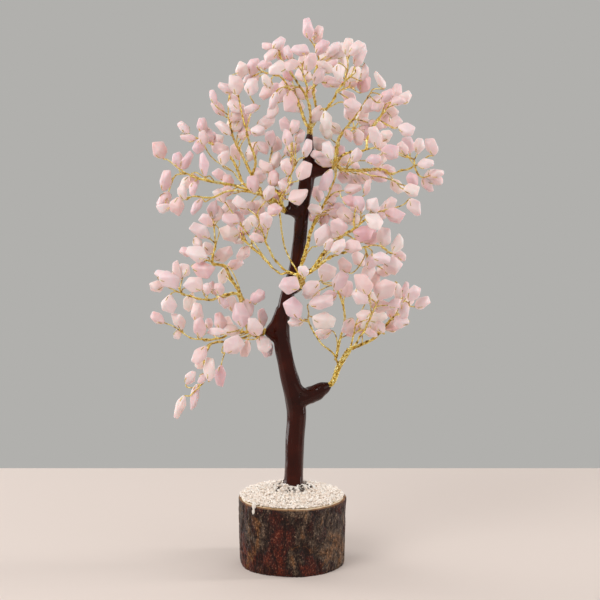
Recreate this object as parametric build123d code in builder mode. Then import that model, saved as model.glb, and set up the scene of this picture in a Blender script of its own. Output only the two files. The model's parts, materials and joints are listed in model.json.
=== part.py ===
from build123d import *
import math
import os
import random

os.makedirs("parts", exist_ok=True)

# Driving sizes of the tree, in millimetres
tree_height = 300.0
crown_reach = 50.0

# Place of the eye from which the branches are laid out, in front of the tree
eye_across = 4.6
eye_distance = 1000.0
eye_height = 311.0

# Log with its bark
log_height = 38.0
log_radius = 30.0
bark_thickness = 2.6
bark_groove_depth = 0.8
bark_set_down = 0.6
log_sides = 24
glue_sides = 20

# Glue and the quartz chips bedded in it
glue_radius = 25.0
glue_crest_radius = 11.0
glue_height = 4.2
glue_skirt = 0.7
quartz_length = 4.4
quartz_spacing = 5.4

# Moulded trunk
tenon_radius = 4.3
tenon_depth = 20.0
socket_clearance = 0.15
socket_floor_gap = 0.4
root_flare = 1.8
limb_sides = 12
stub_sides = 9
limb_clearance = 0.5

# Gold wire: two strands twisted together make a twig, many twigs make a branch or a stem.
# The packing share is the power of the twig count by which a twist grows.
wire_diameter = 0.38
twist_packing_share = 0.4
core_diameter = 3.0
core_foot_gap = 2.0

# Rose quartz chips
chip_length = 12.2
chip_width = 10.0
chip_thickness = 4.6
chip_foot_width = 1.8
twig_seat = 0.3
chip_clearance = 0.25
chip_step = 1.6
chip_step_count = 19
scrap_volume = 0.6

# Trunk stations as shares, in thousandths of the tree height: across, up, back, width
trunk_shares = [
    (2, 138, 0, 37), (4, 165, 0, 34), (6, 232, 2, 34), (9, 285, 3, 36), (0, 332, 2, 36),
    (-9, 372, 0, 33), (-17, 410, -3, 31), (-19, 450, -5, 29), (-12, 484, -4, 25), (-3, 520, -2, 25),
    (6, 553, 0, 23), (14, 598, 3, 23), (17, 628, 3, 25), (20, 668, 2, 26), (27, 710, 0, 28),
    (31, 750, 0, 21), (31, 780, 0, 17), (33, 800, 0, 9),
]

# Stubs of the trunk as shares, in thousandths of the tree height, from inside the trunk to the tip
stub_shares = {
    "lower_right": [(6, 306, 2, 30), (30, 315, 2, 32), (50, 325, 1, 29), (63, 332, 0, 20), (70, 336, 0, 10)],
    "lower_left": [(-18, 424, -2, 20), (-34, 430, -1, 17), (-43, 434, 0, 14), (-48, 436, 0, 9)],
    "middle": [(-2, 510, -6, 18), (8, 514, -24, 16), (16, 518, -40, 13), (19, 521, -46, 8)],
    "upper_left": [(15, 652, 0, 26), (2, 660, -3, 20), (-7, 659, -6, 15), (-13, 658, -8, 9)],
    "right": [(28, 725, 0, 26), (44, 731, 0, 27), (58, 733, 0, 22), (68, 735, 0, 16), (73, 736, 0, 10)],
}

# Stems as shares, in thousandths of the tree height: from the core through the stub to the first fork
stem_shares = {
    "top": [(33, 792, 0), (33, 803, 0), (34, 813, 0)],
    "right": [(29, 727, 0), (58, 733, 0), (72, 736, 0), (80, 740, 0)],
    "upper_left": [(19, 656, 0), (2, 660, -3), (-13, 658, -8), (-30, 672, -14), (-50, 684, -20)],
    "middle": [(-4, 512, -4), (8, 514, -24), (18, 520, -45), (17, 532, -60), (12, 541, -70)],
    "lower_left": [(-18, 426, -3), (-47, 436, 0), (-59, 429, -4), (-72, 434, -8), (-85, 456, -12)],
    "lower_right": [(5, 306, 2), (50, 325, 1), (68, 335, 0), (77, 345, 0), (86, 370, 0), (105, 402, -8)],
}

# Branches: the stem that each one leaves, its shoots and its chips.
# Shoot points are shares: across and up in thousandths of the tree height, back in hundredths of the
# crown reach. A later shoot of a branch starts on an earlier one.
# A chip is its centre (across, up), its turn in degrees from the right, its length and width in
# hundredths of the chip sizes, and back in hundredths of the crown reach.
branch_shares = {
    "top_left": ("top", [
        [(33, 806, 2), (24, 818, 12), (11, 854, 22), (-18, 896, 24), (-31, 900, 20), (-59, 909, 8)],
        [(-31, 900, 20), (-45, 883, 6)],
        [(33, 806, 2), (31, 851, -10), (-1, 904, -22), (-25, 938, -26)],
    ], [
        (-20, 957, 50, 84, 72, -30), (-41, 951, 172, 78, 56, -20), (-37, 935, 215, 72, 64, -36),
        (-20, 937, 110, 66, 72, -12), (-25, 912, 195, 84, 92, -40), (-45, 919, 190, 72, 64, 0),
        (-68, 917, 80, 87, 92, 6), (-46, 893, 115, 72, 64, -8), (-44, 870, 230, 78, 80, 4),
        (-32, 853, 256, 84, 52, -22), (-18, 864, 250, 66, 60, 14), (-2, 851, 266, 102, 92, -30),
        (-34, 834, 245, 78, 72, 16), (-8, 905, 120, 84, 80, 52), (-30, 878, 160, 84, 84, 56),
    ]),
    "top_crest": ("top", [
        [(34, 808, -2), (34, 830, -20), (27, 865, -36), (28, 879, -40), (20, 905, -40), (22, 932, -40)],
        [(20, 905, -40), (12, 917, -32), (-1, 927, -28)],
        [(34, 808, -2), (50, 832, 12), (43, 847, 16), (40, 871, 18), (42, 905, 16), (49, 927, 10),
         (37, 960, 0)],
        [(42, 880, 18), (60, 903, 46)],
    ], [
        (14, 945, 165, 84, 80, -46), (34, 926, 77, 93, 80, -56), (0, 917, 200, 72, 72, -38),
        (-7, 941, 110, 72, 64, -42), (50, 899, 60, 78, 72, -30), (29, 984, 100, 96, 68, -4),
        (47, 975, 75, 90, 72, 8), (54, 950, 57, 81, 68, -10), (62, 932, 20, 72, 72, 22),
        (74, 924, 45, 78, 80, 58), (68, 889, -10, 78, 80, 54), (22, 925, 100, 84, 80, 48),
    ]),
    "top_right": ("top", [
        [(34, 806, -6), (51, 831, -8), (67, 844, -10), (82, 871, -12), (96, 890, -14), (121, 909, -16)],
        [(96, 890, -14), (99, 905, -24), (102, 925, -28)],
        [(82, 871, -12), (98, 877, 2), (113, 882, 8)],
    ], [
        (102, 953, 80, 90, 80, -26), (116, 949, 48, 81, 72, -46), (121, 932, 64, 84, 72, -14),
        (131, 906, 70, 78, 56, -6), (131, 886, 70, 84, 84, 18), (85, 903, 95, 78, 80, -38),
        (110, 846, -20, 84, 96, -30), (63, 820, 100, 78, 72, -30), (92, 928, 100, 84, 80, 30),
        (100, 862, -30, 84, 80, 50),
    ]),
    "right_upper": ("right", [
        [(78, 739, 2), (83, 777, 12), (90, 795, 16), (121, 837, 22), (128, 852, 24)],
        [(121, 837, 22), (130, 850, 12), (149, 882, -4)],
        [(90, 795, 16), (106, 800, 36), (118, 812, 50)],
    ], [
        (139, 844, 40, 78, 80, 6), (155, 847, 60, 72, 72, -8), (168, 850, 20, 72, 80, 14),
        (171, 864, 45, 72, 72, -16), (156, 893, 125, 90, 52, -6), (137, 814, -20, 78, 72, 26),
        (103, 792, -60, 60, 56, 2), (120, 788, -80, 78, 80, 10), (128, 830, 60, 84, 80, 62),
        (140, 790, 0, 84, 80, 56), (104, 833, 110, 84, 84, 48),
    ]),
    "right_rising": ("right", [
        [(78, 739, -4), (96, 760, -16), (132, 767, -22), (137, 790, -14), (156, 821, -6), (180, 854, -6)],
        [(156, 821, -6), (182, 807, -22), (195, 802, -24)],
        [(132, 767, -22), (157, 773, -38)],
    ], [
        (187, 872, 75, 78, 80, -4), (205, 861, 40, 72, 72, -20), (192, 855, 10, 66, 64, -36),
        (183, 834, -20, 72, 72, 4), (187, 817, 30, 72, 80, -6), (208, 802, -20, 84, 80, -26),
        (150, 793, 104, 105, 76, -50), (171, 794, 40, 72, 80, -34), (180, 763, -10, 90, 96, -50),
        (165, 818, 60, 78, 80, 40),
    ]),
    "right_far": ("right", [
        [(78, 739, 4), (97, 731, 8), (130, 730, 8), (163, 731, 4), (182, 725, 0), (221, 738, -6),
         (250, 759, -10)],
        [(221, 738, -6), (229, 722, -12), (242, 713, -16)],
        [(221, 738, -6), (218, 751, 4), (192, 755, 12)],
        [(78, 739, 4), (95, 729, -16), (115, 731, -20), (135, 723, -22), (180, 713, -22), (204, 695, -22)],
        [(95, 729, -16), (110, 744, -30), (128, 749, -36)],
    ], [
        (252, 774, 105, 84, 80, -12), (229, 776, 80, 78, 80, 4), (210, 777, 100, 78, 80, 18),
        (200, 771, 120, 66, 64, -6), (242, 742, 10, 72, 72, -26), (252, 722, 20, 72, 72, 0),
        (265, 724, 10, 72, 64, -22), (245, 703, -60, 78, 72, -12), (216, 716, -50, 78, 80, -36),
        (217, 694, -10, 72, 80, -32), (118, 758, 60, 66, 72, -46), (113, 741, -60, 60, 56, -30),
        (149, 750, 10, 72, 72, -48), (160, 748, 60, 84, 80, 34), (190, 700, -60, 84, 80, 20),
    ]),
    "left_long": ("upper_left", [
        [(-50, 684, -12), (-100, 702, -14), (-150, 711, -14), (-188, 724, -12), (-230, 755, -8)],
        [(-188, 724, -12), (-207, 722, -18), (-219, 715, -20)],
        [(-138, 709, -14), (-152, 726, -28)],
        [(-50, 684, -12), (-83, 692, -24), (-116, 692, -28), (-143, 681, -30), (-176, 683, -30),
         (-192, 679, -30)],
        [(-143, 681, -30), (-160, 670, -18)],
    ], [
        (-237, 768, 110, 84, 100, -8), (-187, 749, 60, 90, 68, -22), (-226, 713, 255, 102, 76, -26),
        (-158, 743, 97, 108, 80, -38), (-175, 711, 110, 66, 60, -2), (-205, 750, 100, 84, 80, 24),
        (-197, 692, 110, 72, 72, -44), (-177, 696, 80, 66, 64, -14), (-232, 662, 200, 78, 72, -26),
        (-207, 665, 253, 81, 92, -34), (-171, 664, 237, 87, 56, -8), (-69, 706, 100, 78, 80, -36),
        (-115, 712, 100, 78, 80, 30), (-190, 706, 60, 72, 72, 30),
    ]),
    "left_third": ("upper_left", [
        [(-50, 684, -8), (-88, 707, 6), (-107, 729, 10), (-136, 747, 14), (-146, 758, 14)],
        [(-88, 707, 6), (-98, 734, 18), (-112, 756, 22), (-138, 775, 24), (-170, 789, 20)],
    ], [
        (-158, 789, 100, 66, 72, 6), (-133, 783, 70, 72, 80, 34), (-121, 754, 80, 72, 80, -4),
        (-167, 773, 225, 66, 80, 12), (-187, 788, 175, 75, 52, 18), (-194, 809, 129, 78, 56, 26),
        (-160, 811, 94, 78, 72, 22), (-143, 790, 106, 72, 80, 42), (-100, 765, 110, 84, 80, 50),
        (-128, 722, -40, 78, 76, 44),
    ]),
    "left_upper": ("upper_left", [
        [(-50, 684, -2), (-60, 700, 8), (-71, 720, 14), (-84, 748, 18), (-104, 789, 18), (-116, 842, 18)],
        [(-71, 720, 14), (-65, 750, 2), (-80, 800, -4), (-67, 852, -10), (-76, 866, -10)],
        [(-80, 800, -4), (-88, 828, 2), (-95, 866, 6)],
    ], [
        (-122, 808, 132, 87, 64, 4), (-140, 864, 103, 80, 60, 10), (-131, 842, 126, 81, 68, 26),
        (-118, 877, 150, 72, 60, 6), (-98, 884, 95, 90, 92, 2), (-88, 911, 75, 84, 80, 2),
        (-103, 853, 110, 72, 72, 32), (-71, 840, 20, 66, 68, -24), (-72, 882, 85, 87, 92, -24),
        (-58, 800, -10, 72, 72, -14), (-50, 771, 140, 72, 72, 10), (-82, 822, 60, 84, 80, 44),
    ]),
    "left_inner": ("upper_left", [
        [(-16, 659, -10), (-20, 686, -16), (-8, 704, -18), (-4, 728, -18), (-9, 750, -16)],
        [(-7, 712, -18), (16, 756, -30)],
        [(-20, 686, -16), (-33, 702, -4), (-33, 726, 6), (-42, 758, 8)],
    ], [
        (28, 771, 80, 84, 64, -36), (-47, 736, 150, 78, 80, 0), (-13, 702, 120, 66, 72, -36),
        (-38, 790, 100, 84, 80, 4), (-26, 777, 60, 72, 72, 20), (-10, 810, 110, 84, 80, -8),
        (6, 811, 75, 78, 72, -22), (-7, 790, 85, 72, 72, -34), (16, 791, 60, 66, 64, -16),
        (-4, 768, 100, 66, 80, 4), (0, 740, 70, 84, 80, 40),
    ]),
    "middle_left": ("middle", [
        [(12, 540, -44), (-10, 544, -34), (-35, 554, -26), (-120, 673, -14)],
        [(-35, 554, -26), (-55, 576, -10), (-95, 611, 6)],
        [(12, 540, -44), (-8, 547, -40), (-20, 556, -38), (-35, 575, -40), (-47, 603, -42),
         (-61, 648, -42), (-55, 662, -40)],
        [(-47, 603, -42), (-40, 632, -48)],
        [(12, 540, -44), (8, 517, -56)],
    ], [
        (-113, 614, 190, 92, 116, 10), (-110, 641, 165, 78, 80, -28), (-77, 635, 60, 84, 80, -2),
        (-62, 608, 150, 66, 68, -36), (-130, 686, 125, 78, 72, -14), (-47, 642, 110, 78, 84, -60),
        (-40, 692, 70, 84, 80, -46), (-30, 660, 40, 72, 72, -56), (-92, 671, 140, 72, 72, -40),
        (-69, 640, 100, 60, 60, -56), (-5, 522, 165, 90, 108, -56), (-88, 578, 230, 84, 80, 22),
        (-60, 660, 100, 84, 80, 20),
    ]),
    "middle_tall": ("middle", [
        [(13, 541, -42), (-12, 590, -34), (-21, 652, -36), (-20, 676, -38), (-4, 705, -44), (2, 722, -44)],
        [(13, 541, -42), (25, 580, -26), (38, 628, -16), (62, 676, -12), (80, 724, -14), (74, 747, -14)],
        [(24, 574, -28), (41, 597, -38)],
        [(62, 676, -12), (78, 690, -20), (92, 692, -24)],
    ], [
        (14, 684, 20, 93, 108, -48), (24, 731, 60, 96, 96, -50), (-9, 738, 105, 78, 80, -46),
        (61, 710, 243, 114, 84, -30), (58, 613, 60, 102, 116, -46), (60, 640, 80, 66, 64, -2),
        (41, 660, 150, 72, 72, -26), (107, 674, -20, 78, 80, -30), (111, 697, 10, 78, 80, -14),
        (65, 768, 110, 90, 88, -24), (47, 758, 150, 72, 72, 0), (48, 690, 100, 84, 80, 36),
    ]),
    "middle_right": ("middle", [
        [(15, 540, -48), (36, 548, -40), (62, 584, -34), (98, 616, -32), (114, 624, -30), (147, 651, -24),
         (195, 665, -20), (208, 673, -20)],
        [(62, 584, -34), (59, 593, -42)],
        [(114, 624, -30), (113, 645, -20), (118, 672, -16), (129, 685, -16)],
        [(98, 616, -32), (112, 606, 0), (124, 604, 20)],
    ], [
        (222, 663, -65, 84, 88, -22), (178, 671, 60, 78, 80, -8), (147, 667, 100, 78, 80, -42),
        (136, 702, 78, 78, 52, -18), (122, 672, 100, 72, 72, -42), (187, 648, -20, 90, 88, -32),
        (151, 638, -30, 93, 100, -42), (131, 615, -10, 90, 108, -46), (84, 631, 110, 90, 104, -46),
        (22, 549, 100, 56, 70, -66), (68, 597, 60, 60, 60, -60), (146, 606, 20, 84, 80, 36),
    ]),
    "middle_right_low": ("middle", [
        [(15, 538, -52), (36, 546, -50), (68, 571, -50), (100, 583, -48), (136, 592, -42), (160, 594, -38)],
        [(132, 591, -42), (140, 571, -34), (152, 562, -30), (156, 550, -28)],
        [(136, 592, -42), (152, 580, -50)],
        [(160, 594, -38), (172, 586, -30), (180, 576, -26)],
    ], [
        (86, 592, 30, 78, 80, -62), (112, 594, 10, 93, 88, -64), (166, 609, 84, 93, 88, -42),
        (194, 597, 60, 93, 80, -24), (164, 571, -10, 78, 84, -58), (147, 567, 240, 78, 76, -42),
        (139, 545, 245, 84, 80, -26), (184, 556, -30, 102, 112, -16), (95, 560, -60, 84, 80, -20),
        (120, 570, -50, 84, 80, -10),
    ]),
    "lower_left_upper": ("lower_left", [
        [(-85, 455, -8), (-88, 487, -6), (-92, 503, -8), (-112, 537, -8), (-122, 556, -8), (-143, 563, -8),
         (-138, 598, -2), (-142, 643, 2)],
        [(-112, 537, -8), (-128, 535, -16), (-153, 526, -22)],
        [(-143, 563, -8), (-155, 573, -20)],
        [(-138, 598, -2), (-152, 610, -10)],
    ], [
        (-166, 620, 150, 96, 112, -16), (-172, 580, 160, 96, 104, -34), (-170, 597, 110, 60, 56, -10),
        (-190, 583, 160, 66, 64, -4), (-120, 578, 25, 111, 84, 10), (-160, 549, 165, 99, 100, -34),
        (-142, 661, 85, 84, 80, 4), (-123, 537, 80, 84, 80, 34), (-152, 640, 150, 84, 80, 36),
        (-100, 560, 20, 84, 80, 40),
    ]),
    "lower_left_middle": ("lower_left", [
        [(-86, 456, -14), (-96, 501, -20), (-118, 504, -22), (-152, 494, -22), (-200, 506, -18),
         (-234, 523, -18)],
        [(-200, 506, -18), (-207, 522, -12)],
        [(-152, 494, -22), (-163, 507, -34)],
    ], [
        (-178, 524, 150, 93, 104, -42), (-235, 540, 155, 96, 76, -12), (-209, 546, 93, 108, 68, -2),
        (-222, 531, 165, 90, 100, -34), (-246, 518, 190, 63, 80, -26), (-224, 484, 260, 90, 100, -24),
        (-155, 515, 100, 54, 52, -50), (-143, 517, 110, 66, 64, -8), (-131, 516, 100, 66, 68, -40),
        (-124, 489, -60, 60, 60, -30), (-186, 489, 250, 84, 80, 14), (-108, 488, -80, 78, 76, 6),
    ]),
    "lower_left_low": ("lower_left", [
        [(-73, 436, -4), (-115, 430, -8), (-130, 423, -10), (-170, 421, -12), (-190, 427, -12),
         (-217, 446, -12), (-236, 451, -12)],
        [(-100, 431, -7), (-95, 446, -20)],
    ], [
        (-247, 461, 150, 81, 72, -14), (-206, 456, 112, 87, 84, -20), (-208, 430, 255, 48, 52, -4),
        (-171, 473, 85, 96, 84, -22), (-168, 444, 100, 90, 88, -42), (-137, 435, 175, 84, 64, -36),
        (-131, 456, 100, 84, 80, -16), (-151, 451, 100, 54, 56, 10), (-93, 467, 100, 108, 112, -34),
        (-67, 446, 110, 96, 92, -38), (-53, 463, 95, 84, 66, 8), (-118, 450, 100, 84, 80, 26),
    ]),
    "lower_left_hanging": ("lower_left", [
        [(-72, 432, 2), (-92, 423, 6), (-112, 416, 6), (-118, 408, 6), (-129, 375, 12)],
        [(-112, 416, 6), (-135, 416, 0), (-150, 409, -4), (-160, 383, -4), (-156, 360, -6),
         (-161, 342, -8), (-190, 312, -10)],
    ], [
        (-104, 412, 220, 108, 116, -34), (-169, 391, 230, 99, 88, -24), (-149, 368, 265, 111, 80, -22),
        (-164, 347, 240, 60, 56, -28), (-132, 350, 262, 111, 80, 16), (-178, 312, 258, 120, 60, -22),
        (-205, 294, 250, 108, 72, -8), (-44, 400, 275, 96, 88, -26), (-83, 402, 260, 84, 80, 26),
        (-185, 352, 240, 78, 76, 14),
    ]),
    "lower_right_inner": ("lower_right", [
        [(86, 371, 2), (81, 384, -6), (75, 396, -12), (52, 416, -20), (30, 458, -32), (40, 480, -36)],
        [(81, 384, -6), (87, 415, 2), (97, 465, -4), (84, 510, -10), (75, 520, -14), (52, 524, -22),
         (40, 532, -26)],
        [(75, 520, -14), (73, 531, -6), (70, 540, -4)],
    ], [
        (3, 480, 120, 105, 124, -46), (5, 452, 200, 87, 96, -40), (60, 455, -20, 108, 116, -44),
        (57, 491, 10, 117, 92, -50), (65, 546, 60, 99, 104, 8), (33, 516, 215, 93, 100, -52),
        (88, 528, 60, 87, 84, -30), (104, 444, 60, 78, 80, -16), (65, 500, 200, 84, 80, 14),
        (58, 432, 200, 72, 72, 16),
    ]),
    "lower_right_fan": ("lower_right", [
        [(105, 402, -8), (118, 415, -20), (143, 462, -32), (140, 512, -42)],
        [(143, 462, -32), (161, 500, -48)],
        [(105, 402, -8), (110, 416, -12), (120, 462, -20), (129, 487, -24)],
        [(120, 462, -20), (110, 475, -26), (116, 486, -32)],
    ], [
        (170, 515, 60, 111, 124, -54), (146, 433, -20, 72, 56, -14), (165, 481, -10, 96, 100, -28),
        (193, 508, 95, 81, 56, -26), (207, 514, 70, 72, 56, -8), (188, 487, 10, 63, 72, -40),
        (125, 501, 100, 87, 92, -44), (131, 525, 110, 102, 116, -46), (131, 466, 30, 66, 68, -36),
        (137, 450, 40, 60, 56, -6), (157, 462, 10, 87, 80, -10), (150, 535, 80, 84, 80, 20),
    ]),
    "lower_right_outer": ("lower_right", [
        [(105, 402, -2), (150, 423, 0), (187, 463, -6), (213, 475, -10), (228, 481, -12)],
        [(213, 475, -10), (215, 494, -18)],
    ], [
        (161, 446, 120, 66, 72, -22), (180, 441, -30, 60, 64, 8), (197, 455, -10, 84, 88, -20),
        (205, 474, 95, 69, 68, -30), (223, 507, 60, 81, 92, -30), (239, 489, 25, 78, 84, -18),
        (183, 475, 100, 78, 76, 18), (213, 495, 80, 78, 76, 22),
    ]),
}

# How far back along the shoot a twig starts, of its distance from the shoot, and how square a twig
# has to meet the foot of its chip to be cut off along it
twig_set_back_share = 0.6
twig_slant_share = 0.4

# Outline of the log: how far it swells in and out, and how many times round it does
log_swell_shares = [(0.012, 2, 0.6), (0.010, 5, 0.0)]

# Corners of a rose quartz chip on each side: least and most of the length, least and most of the width
chip_side_shares = [(0.22, 0.42, 0.8, 1.0), (0.78, 1.0, 0.3, 0.75)]
chip_crown_shares = (0.45, 0.65)
chip_unevenness_share = 0.4
chip_lean_share = 0.3
chip_roll_degrees = 28
chip_body_shares = (0.3, 0.72, 0.42)

# Corners of a quartz chip: height and reach of its foot and of its top, as shares of its length
quartz_corner_shares = [(0, 0.36), (1, 0.42)]


def place(across, up, back_distance):
    """Point at a depth behind the plane of the trunk, on the sight line through that plane."""
    eye = Vector(eye_across, -eye_distance, eye_height)
    seen = Vector(across / 1000 * tree_height, 0, up / 1000 * tree_height)
    return eye + (seen - eye) * ((eye_distance + back_distance) / eye_distance)


def tree_place(shares):
    """Point of the trunk or a stem, with all three shares in thousandths of the tree height."""
    return place(shares[0], shares[1], shares[2] / 1000 * tree_height)


def crown_place(shares):
    """Point of a branch, with its depth in hundredths of the crown reach."""
    return place(shares[0], shares[1], shares[2] / 100 * crown_reach)


def bundle_diameter(twig_count):
    """Outer diameter of a twist of many twigs: they pack tighter the more there are."""
    return 2 * wire_diameter * twig_count ** twist_packing_share


def nearest_on_run(point, start, end):
    """Place on a straight run that is nearest to a point."""
    along = end - start
    share = max(0.0, min(1.0, (point - start).dot(along) / along.dot(along)))
    return start + along * share


def run_distance(first, second):
    """Least distance between two straight runs, each a pair of points."""
    p, q = first[0], second[0]
    u, v = first[1] - p, second[1] - q
    between = p - q
    uu, uv, vv = u.dot(u), u.dot(v), v.dot(v)
    us, vs = u.dot(between), v.dot(between)
    spread = uu * vv - uv * uv
    share = 0.5
    if spread > 1e-9 * uu * vv:
        share = max(0.0, min(1.0, (uv * vs - vv * us) / spread))
    on_second = nearest_on_run(p + u * share, second[0], second[1])
    on_first = nearest_on_run(on_second, first[0], first[1])
    return (on_first - on_second).length


def ring_corners(plane, diameter, sides):
    """Corners of a regular polygon on a plane."""
    return [
        plane.from_local_coords(Vector(diameter / 2, 0, 0).rotate(Axis.Z, 360 * k / sides))
        for k in range(sides)
    ]


def mitred_runs(points, diameters, sides):
    """Straight prisms along a route, each tapered to a point of its own and mitred where the route turns."""
    directions = [(end - start).normalized() for start, end in zip(points, points[1:])]
    ring = ring_corners(Plane(points[0], z_dir=directions[0]), diameters[0], sides)
    prisms = []
    for index, direction in enumerate(directions):
        onward = directions[min(index + 1, len(directions) - 1)]
        mitre = (direction + onward).normalized()
        start, end = points[index], points[index + 1]
        thinning = 1 - diameters[index + 1] / diameters[index]
        rays = [direction] * sides
        if abs(thinning) > 1e-6:
            apex = start + (end - start) / thinning
            rays = [apex - corner for corner in ring]
        far_ring = [
            corner + ray * (mitre.dot(end - corner) / mitre.dot(ray))
            for corner, ray in zip(ring, rays)
        ]
        prisms.append(ConvexPolyhedron(ring + far_ring, mode=Mode.PRIVATE))
        ring = far_ring
    return prisms


def even_runs(points, diameter, sides):
    return mitred_runs(points, [diameter] * len(points), sides)


def shoot_sides(diameter):
    """More sides for a thicker shoot."""
    return 3 + sum(diameter > bundle_diameter(load) for load in (3, 7))


def tapered_limb(stations, sides):
    """Limb through stations of across, up, back and width shares."""
    widths = [station[3] / 1000 * tree_height for station in stations]
    return mitred_runs([tree_place(station) for station in stations], widths, sides)


def largest_solid(shape):
    return shape.solids().sort_by(SortBy.VOLUME)[-1]


def save(shape, name):
    shape.label = name
    export_step(shape, "parts/" + name + ".step")


# Log: an uneven slice with the bark around it
def log_outline(radius, groove):
    corners = []
    for side in range(2 * log_sides):
        turn = math.pi * side / log_sides
        swell = sum(share * math.cos(count * turn + start) for share, count, start in log_swell_shares)
        reach = radius * (1 + swell) - (groove if side % 2 else 0)
        corners.append((reach * math.cos(turn), reach * math.sin(turn)))
    return corners


wood_radius = log_radius - bark_thickness

with BuildPart() as log_core:
    with BuildSketch():
        with BuildLine():
            Polyline(*log_outline(wood_radius, 0)[::2], close=True)
        make_face()
    extrude(amount=log_height)
    with Locations((0, 0, log_height)):
        Hole(tenon_radius + socket_clearance, depth=tenon_depth + socket_floor_gap)

with BuildPart() as bark_ring:
    with BuildSketch():
        with BuildLine():
            Polyline(*log_outline(log_radius, bark_groove_depth), close=True)
        make_face()
        with BuildLine():
            Polyline(*log_outline(wood_radius, 0)[::2], close=True)
        make_face(mode=Mode.SUBTRACT)
    extrude(amount=log_height - bark_set_down)

# Trunk: tenon, limb with its stubs, and the bores that the wire fills
trunk_foot = tree_place(trunk_shares[0])
trunk_foot_width = trunk_shares[0][3] / 1000 * tree_height
trunk_foot_radius = trunk_foot_width / 2 + root_flare
with BuildPart() as trunk_solid:
    with Locations((0, 0, log_height - tenon_depth)):
        Cylinder(tenon_radius, tenon_depth, align=(Align.CENTER, Align.CENTER, Align.MIN))
    add(ConvexPolyhedron(
        ring_corners(Plane.XY.offset(log_height), 2 * trunk_foot_radius, limb_sides)
        + ring_corners(Plane(trunk_foot, z_dir=tree_place(trunk_shares[1]) - trunk_foot),
                       trunk_foot_width, limb_sides),
        mode=Mode.PRIVATE))
    add(tapered_limb(trunk_shares, limb_sides))
    for stub in stub_shares.values():
        add(tapered_limb(stub, stub_sides))

twig_total = {stem: 0 for stem in stem_shares}
for stem, shoots, chips in branch_shares.values():
    twig_total[stem] += len(chips)

core_points = [Vector(0, 0, log_height - tenon_depth + core_foot_gap)]
core_points += [tree_place(station) for station in trunk_shares[1:-2:2]]
core_points.append(tree_place(stem_shares["top"][0]))
with BuildPart() as trunk_core:
    add(even_runs(core_points, core_diameter, 6))

stems = {}
for stem, shares in stem_shares.items():
    with BuildPart() as stem_wire:
        add(even_runs([tree_place(point) for point in shares], bundle_diameter(twig_total[stem]), 6))
        add(trunk_core.part, mode=Mode.SUBTRACT)
    stems[stem] = largest_solid(stem_wire.part)

with BuildPart() as trunk_shell:
    add(trunk_solid.part)
    add(trunk_core.part, mode=Mode.SUBTRACT)
    add(list(stems.values()), mode=Mode.SUBTRACT)

# Glue mound and the quartz chips bedded in it
with BuildPart() as glue_bed:
    add(ConvexPolyhedron(
        ring_corners(Plane.XY.offset(log_height), 2 * glue_radius, glue_sides)
        + ring_corners(Plane.XY.offset(log_height + glue_skirt), 2 * glue_radius, glue_sides)
        + ring_corners(Plane.XY.offset(log_height + glue_height), 2 * glue_crest_radius, glue_sides),
        mode=Mode.PRIVATE))
    add(trunk_solid.part, mode=Mode.SUBTRACT)

dice = random.Random(7)


def glue_top(radius):
    """Height of the glue at a distance from the middle of the log."""
    slope_share = (glue_radius - radius) / (glue_radius - glue_crest_radius)
    return log_height + glue_skirt + (glue_height - glue_skirt) * max(0.0, min(1.0, slope_share))


def quartz_chip(seat, length):
    """Small angular chip: a flat foot on its seat and four uneven corners above it."""
    turn = dice.uniform(0, 90)
    corners = []
    for height_share, reach_share in quartz_corner_shares:
        for quarter in range(4):
            reach = length * reach_share * dice.uniform(0.75, 1.15)
            rise = length * height_share * dice.uniform(0.45, 0.85)
            corner = Vector(reach, 0, rise).rotate(Axis.Z, turn + 90 * quarter + dice.uniform(-20, 20))
            corners.append(seat.from_local_coords(corner))
    return ConvexPolyhedron(corners, mode=Mode.PRIVATE)


quartz_rings = {"quartz_inner": [1, 2], "quartz_middle": [3], "quartz_outer": [4]}
ring_step = (glue_radius - quartz_length - trunk_foot_radius) / 3
for name, rings in quartz_rings.items():
    chips = []
    for ring in rings:
        ring_radius = trunk_foot_radius + quartz_length / 2 + ring_step * (ring - 1)
        count = int(2 * math.pi * ring_radius / quartz_spacing)
        for k in range(count):
            turn = 2 * math.pi * (k + 0.5 * (ring % 2)) / count
            outward = Vector(math.cos(turn), math.sin(turn), 0)
            seat_normal = Vector(0, 0, glue_radius - glue_crest_radius)
            if ring_radius > glue_crest_radius:
                seat_normal += outward * (glue_height - glue_skirt)
            seat = Plane(outward * ring_radius + Vector(0, 0, glue_top(ring_radius)), z_dir=seat_normal)
            chips.append(quartz_chip(seat, quartz_length * dice.uniform(0.82, 1.0)))
    with BuildPart() as quartz:
        add(chips)
    save(quartz.part, name)


# Rose quartz chips and the wire that holds them
def chip_axes(turn, lean):
    """Length and width directions of a chip seen from the front."""
    angle = math.radians(turn)
    along = Vector(math.cos(angle), lean, math.sin(angle)).normalized()
    across = along.cross(Vector(0, 1, 0)).normalized()
    roll = dice.uniform(-chip_roll_degrees, chip_roll_degrees)
    return along, across.rotate(Axis((0, 0, 0), along), roll)


def rose_chip(foot, along, across, length, width):
    """Uneven tumbled chip: a small foot on the twig, a broad belly and a blunt end."""
    through = along.cross(across)
    corners = ring_corners(Plane(foot, z_dir=along), chip_foot_width, 3)
    for side in (-1, 1):
        for low, high, narrow, wide in chip_side_shares:
            off_plane = dice.uniform(-chip_unevenness_share, chip_unevenness_share)
            corners.append(foot + along * (length * dice.uniform(low, high))
                           + across * (side * width / 2 * dice.uniform(narrow, wide))
                           + through * (chip_thickness / 2 * off_plane))
        off_middle = dice.uniform(-chip_unevenness_share, chip_unevenness_share)
        corners.append(foot + along * (length * dice.uniform(*chip_crown_shares))
                       + across * (width / 2 * off_middle)
                       + through * (side * chip_thickness / 2))
    return ConvexPolyhedron(corners, mode=Mode.PRIVATE)


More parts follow.
